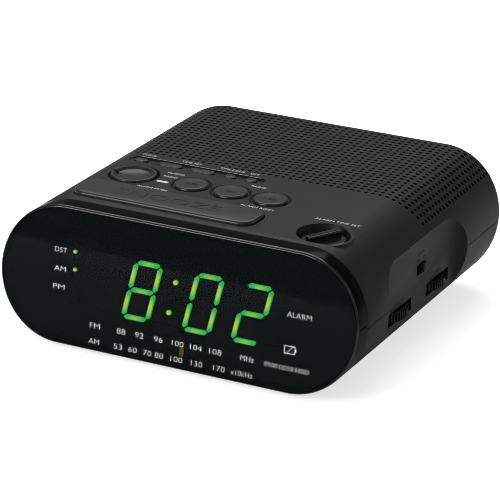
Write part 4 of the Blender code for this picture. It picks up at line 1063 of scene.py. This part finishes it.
class RADIO_OT_side(bpy.types.Operator):
    """Builds the thumbwheels, the band switch, the feet, the lid and the side marks, and gives the imported
    pieces their finishes
    """

    bl_idname = "radio.side"
    bl_label = "Side and base"

    def execute(self, context):
        for node in ("volume_wheel", "tuning_wheel"):
            self.wheel(node)
        self.band_knob()
        for row in ("front", "rear"):
            for hand in ("left", "right"):
                self.foot(f"foot_{row}_{hand}")
        self.lid()
        self.marks()
        self.inside()
        return {"FINISHED"}

    def band_knob(self):
        low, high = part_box("band_slider")
        knob = block(low, high)
        outer = [e for e in knob.edges if max(v.co.x for v in e.verts) > high[0] - 1e-6]
        bevelled(knob, outer, 0.35 * MM)
        ribs = [
            block(
                (high[0] - 0.5 * MM, low[1] + (0.7 + 0.75 * n) * MM, low[2] + 0.5 * MM),
                (high[0] + 0.12 * MM, low[1] + (1.0 + 0.75 * n) * MM, high[2] - 0.5 * MM),
            )
            for n in range(3)
        ]
        piece("band_knob", merged(knob, *ribs), key_finish(), "band_slider", ("band_slider",), 30)

    def foot(self, node):
        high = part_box(node)[1][2]
        outline = [
            (0, 0), (4.4 * MM, 0), (4.85 * MM, 0.25 * MM), (5.0 * MM, 0.7 * MM),
            (5.0 * MM, high), (0, high),
        ]
        rubber = finish("foot_rubber", (0.018, 0.018, 0.018), 0.8, 2500.0, 0.05)
        piece(f"{node}_pad", turned(outline, centre_of(node), 40), rubber, BODY, (node,), 40)

    def wheel(self, node):
        """A thumbwheel with ribs round its rim."""
        at, (low, high) = centre_of(node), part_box(node)
        radius, ribs = (high[0] - low[0]) / 2, 60
        top, bottom = high[2], high[2] - 4 * MM
        outline = [
            (0, bottom), (radius - 1.0 * MM, bottom), (radius - 0.5 * MM, bottom + 0.3 * MM),
            (radius - 0.5 * MM, top - 0.3 * MM), (radius - 1.0 * MM, top), (0, top),
        ]
        solids = [turned(outline, at, 96)]
        for n in range(ribs):
            rib = block(
                (radius - 0.8 * MM, -0.32 * MM, bottom + 0.35 * MM),
                (radius, 0.32 * MM, top - 0.35 * MM),
            )
            rib.transform(shift(at[0], at[1]) @ turn(360 / ribs * (n + 0.5)))
            solids.append(rib)
        black = finish("wheel_black", (0.003, 0.003, 0.0033), 0.4, depth=0.01, specular=0.16)
        piece(f"{node}_rim", merged(*solids), black, node, (node,), 30)

    def lid(self):
        """The plate, the tongues that run in the base's track, and the thumb grips."""
        low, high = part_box("battery_lid")
        plate = block((low[0] + 1.2 * MM, low[1], low[2]), (high[0] - 1.2 * MM, high[1], high[2]))
        under = [e for e in plate.edges if max(v.co.z for v in e.verts) < low[2] + 1e-6]
        bevelled(plate, under, 0.3 * MM)
        tongue = block(
            (low[0], low[1] + 0.4 * MM, high[2] - 0.7 * MM),
            (high[0], high[1] - 0.4 * MM, high[2] - 0.02 * MM),
        )
        grips = [
            block(
                (-13 * MM, high[1] - (3 + n * 1.5) * MM, low[2] - 0.25 * MM),
                (-1 * MM, high[1] - (2.4 + n * 1.5) * MM, low[2] + 0.3 * MM),
            )
            for n in range(4)
        ]
        made = merged(plate, tongue, *grips)
        piece("lid_plate", made, case_finish(), "battery_lid", ("battery_lid",), 30)

    def marks(self):
        """Dark raised marks over the wheels and the switch."""
        place = shift(WIDTH / 2 - SCOOP_DEPTH + LIFT, 0) @ turn(90) @ turn(90, "X")
        words = (
            ("VOLUME", -26.4, -17.8, -4.6), ("TUNING", 10.2, 18.2, -4.6),
            ("FM", -6.9, -4.7, 6.2), ("AM", -1.2, 1.2, 6.2), ("BAND", -5.6, 0.2, 9.0),
        )
        made = [
            lettering(
                string, left * MM, right * MM, MIDDLE + up * MM, 1.3 * MM, place, 0.06 * MM, 0.0
            )
            for string, left, right, up in words
        ]
        dark = finish("legend_dark", (0.006, 0.006, 0.006), 0.6, depth=0)
        piece("side_legends", merged(*made), dark, smooth=0)

    def inside(self):
        """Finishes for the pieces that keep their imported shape."""
        finishes = {
            "matte_case": case_finish(),
            "matte_key": key_finish(),
            "glossy_knob": gloss_finish(),
            "inner_plastic": finish(
                "inner_black", (0.002, 0.002, 0.0022), 0.8, depth=0, specular=0.05
            ),
            "display_face": finish(
                "display_black", (0.002, 0.003, 0.0025), 0.8, depth=0, specular=0.05
            ),
            "board_laminate": finish("laminate_tan", (0.20, 0.13, 0.05), 0.55, 900.0, 0.02, 0.3),
            "steel": finish(
                "plain_steel", (0.50, 0.50, 0.52), 0.32, 700.0, 0.01, 0.2, metallic=1.0
            ),
            "copper_wire": finish(
                "enamelled_copper", (0.62, 0.28, 0.10), 0.35, 1600.0, 0.05, 0.3, metallic=1.0
            ),
            "ferrite": finish("ferrite_grey", (0.03, 0.03, 0.032), 0.5, 1800.0, 0.03),
            "speaker_cone_paper": finish("cone_paper", (0.03, 0.03, 0.031), 0.85, 800.0, 0.08, 0.3),
            "rubber": finish("moulded_rubber", (0.018, 0.018, 0.018), 0.75, 2500.0, 0.04),
        }
        slots = {entry["node"]: entry["material_slot"] for entry in frame["record"]["subparts"]}
        for node, obj in frame["nodes"].items():
            kind = "inner_plastic" if node == "band_switch" else slots[node]
            for slot in obj.material_slots:
                if kind in finishes:
                    slot.material = finishes[kind]


# Stage


class RADIO_OT_stage(bpy.types.Operator):
    """Sets up the pale floor, the soft lights and the camera"""

    bl_idname = "radio.stage"
    bl_label = "Stage"

    def execute(self, context):
        scene = context.scene
        floor_mesh = bmesh.new()
        bmesh.ops.create_grid(floor_mesh, x_segments=1, y_segments=1, size=4)
        mesh = bpy.data.meshes.new("floor")
        floor_mesh.to_mesh(mesh)
        floor_mesh.free()
        floor = bpy.data.objects.new("floor", mesh)
        scene.collection.objects.link(floor)
        mesh.materials.append(self.floor_paint())
        self.world(scene)
        aim = Vector((0, 0, 0.03))
        for name, place, size, power in (
            ("overhead", (-0.25, 0.45, 0.95), 0.9, 7.0),
            ("right fill", (1.0, 0.35, 0.5), 0.7, 1.2),
            ("left front", (-0.5, -1.0, 0.55), 0.6, 9.0),
        ):
            lamp = bpy.data.lights.new(name, "AREA")
            lamp.size = size
            lamp.energy = power
            made = bpy.data.objects.new(name, lamp)
            direction = aim - Vector(place)
            made.matrix_world = shift(*place) @ direction.to_track_quat("-Z", "Y").to_matrix().to_4x4()
            scene.collection.objects.link(made)
        self.camera(scene)
        scene.view_settings.view_transform = "Standard"
        return {"FINISHED"}

    def floor_paint(self):
        """Matt white that glows only where it is seen, so that it adds no light of its own."""
        made = bpy.data.materials.new("floor_white")
        made.use_nodes = True
        nodes, links = made.node_tree.nodes, made.node_tree.links
        shader = nodes["Principled BSDF"]
        shader.inputs["Base Color"].default_value = (0.80, 0.80, 0.80, 1)
        shader.inputs["Roughness"].default_value = 0.9
        shader.inputs["Specular IOR Level"].default_value = 0.0
        glow = math_node(nodes, "MULTIPLY", 0.66)
        links.new(seen_plainly(nodes, links), glow.inputs[0])
        shader.inputs["Emission Color"].default_value = (1, 1, 1, 1)
        links.new(glow.outputs[0], shader.inputs["Emission Strength"])
        return made

    def world(self, scene):
        """A white surround that gives off less light than it shows."""
        world = bpy.data.worlds.new("studio")
        scene.world = world
        world.use_nodes = True
        nodes, links = world.node_tree.nodes, world.node_tree.links
        back = nodes["Background"]
        level = nodes.new("ShaderNodeMapRange")
        level.inputs["To Min"].default_value = 0.27
        level.inputs["To Max"].default_value = 1.0
        links.new(seen_plainly(nodes, links), level.inputs["Value"])
        links.new(level.outputs["Result"], back.inputs["Strength"])
        back.inputs["Color"].default_value = (1, 1, 1, 1)

    def camera(self, scene):
        """A long lens, aimed from the front right and a little askew."""
        scene.cycles.pixel_filter_type = "BLACKMAN_HARRIS"
        scene.cycles.filter_width = 0.95
        azimuth, elevation, roll = (math.radians(a) for a in (26.29, 21.38, 1.03))
        level = math.cos(elevation)
        away = Vector(
            (math.sin(azimuth) * level, -math.cos(azimuth) * level, math.sin(elevation))
        )
        right = Vector((math.cos(azimuth), math.sin(azimuth), 0))
        up = away.cross(right)
        tilted = math.cos(roll) * right + math.sin(roll) * up
        upright = -math.sin(roll) * right + math.cos(roll) * up
        target, distance = Vector((-1.05, -4.93, 25.62)) * MM, 1086.66 * MM
        data = bpy.data.cameras.new("camera")
        data.sensor_width = 36
        data.lens = 197.34
        made = bpy.data.objects.new("camera", data)
        axes = Matrix((tilted, upright, away)).transposed()
        made.matrix_world = shift(*(target + away * distance)) @ axes.to_4x4()
        scene.collection.objects.link(made)
        scene.camera = made


class RADIO_PT_panel(bpy.types.Panel):
    """Lists the pieces of the clock radio"""

    bl_label = "Clock Radio"
    bl_idname = "RADIO_PT_panel"
    bl_space_type = "VIEW_3D"
    bl_region_type = "UI"
    bl_category = "Clock Radio"

    def draw(self, context):
        for operator in STEPS:
            self.layout.operator(operator.bl_idname)
        for group in (context.scene.radio_sizes, context.scene.radio_colours):
            for name in group.bl_rna.properties.keys():
                if name not in ("rna_type", "name"):
                    self.layout.prop(group, name)


STEPS = (RADIO_OT_case, RADIO_OT_front, RADIO_OT_keys, RADIO_OT_side, RADIO_OT_stage)
CLASSES = (RadioSizes, RadioColours, *STEPS, RADIO_PT_panel)


def register():
    for made in CLASSES:
        bpy.utils.register_class(made)
    bpy.types.Scene.radio_sizes = PointerProperty(type=RadioSizes)
    bpy.types.Scene.radio_colours = PointerProperty(type=RadioColours)


def unregister():
    del bpy.types.Scene.radio_colours
    del bpy.types.Scene.radio_sizes
    for made in reversed(CLASSES):
        bpy.utils.unregister_class(made)


def main():
    register()
    bpy.ops.radio.case()
    bpy.ops.radio.front()
    bpy.ops.radio.keys()
    bpy.ops.radio.side()
    bpy.ops.radio.stage()


if __name__ == "__main__":
    main()
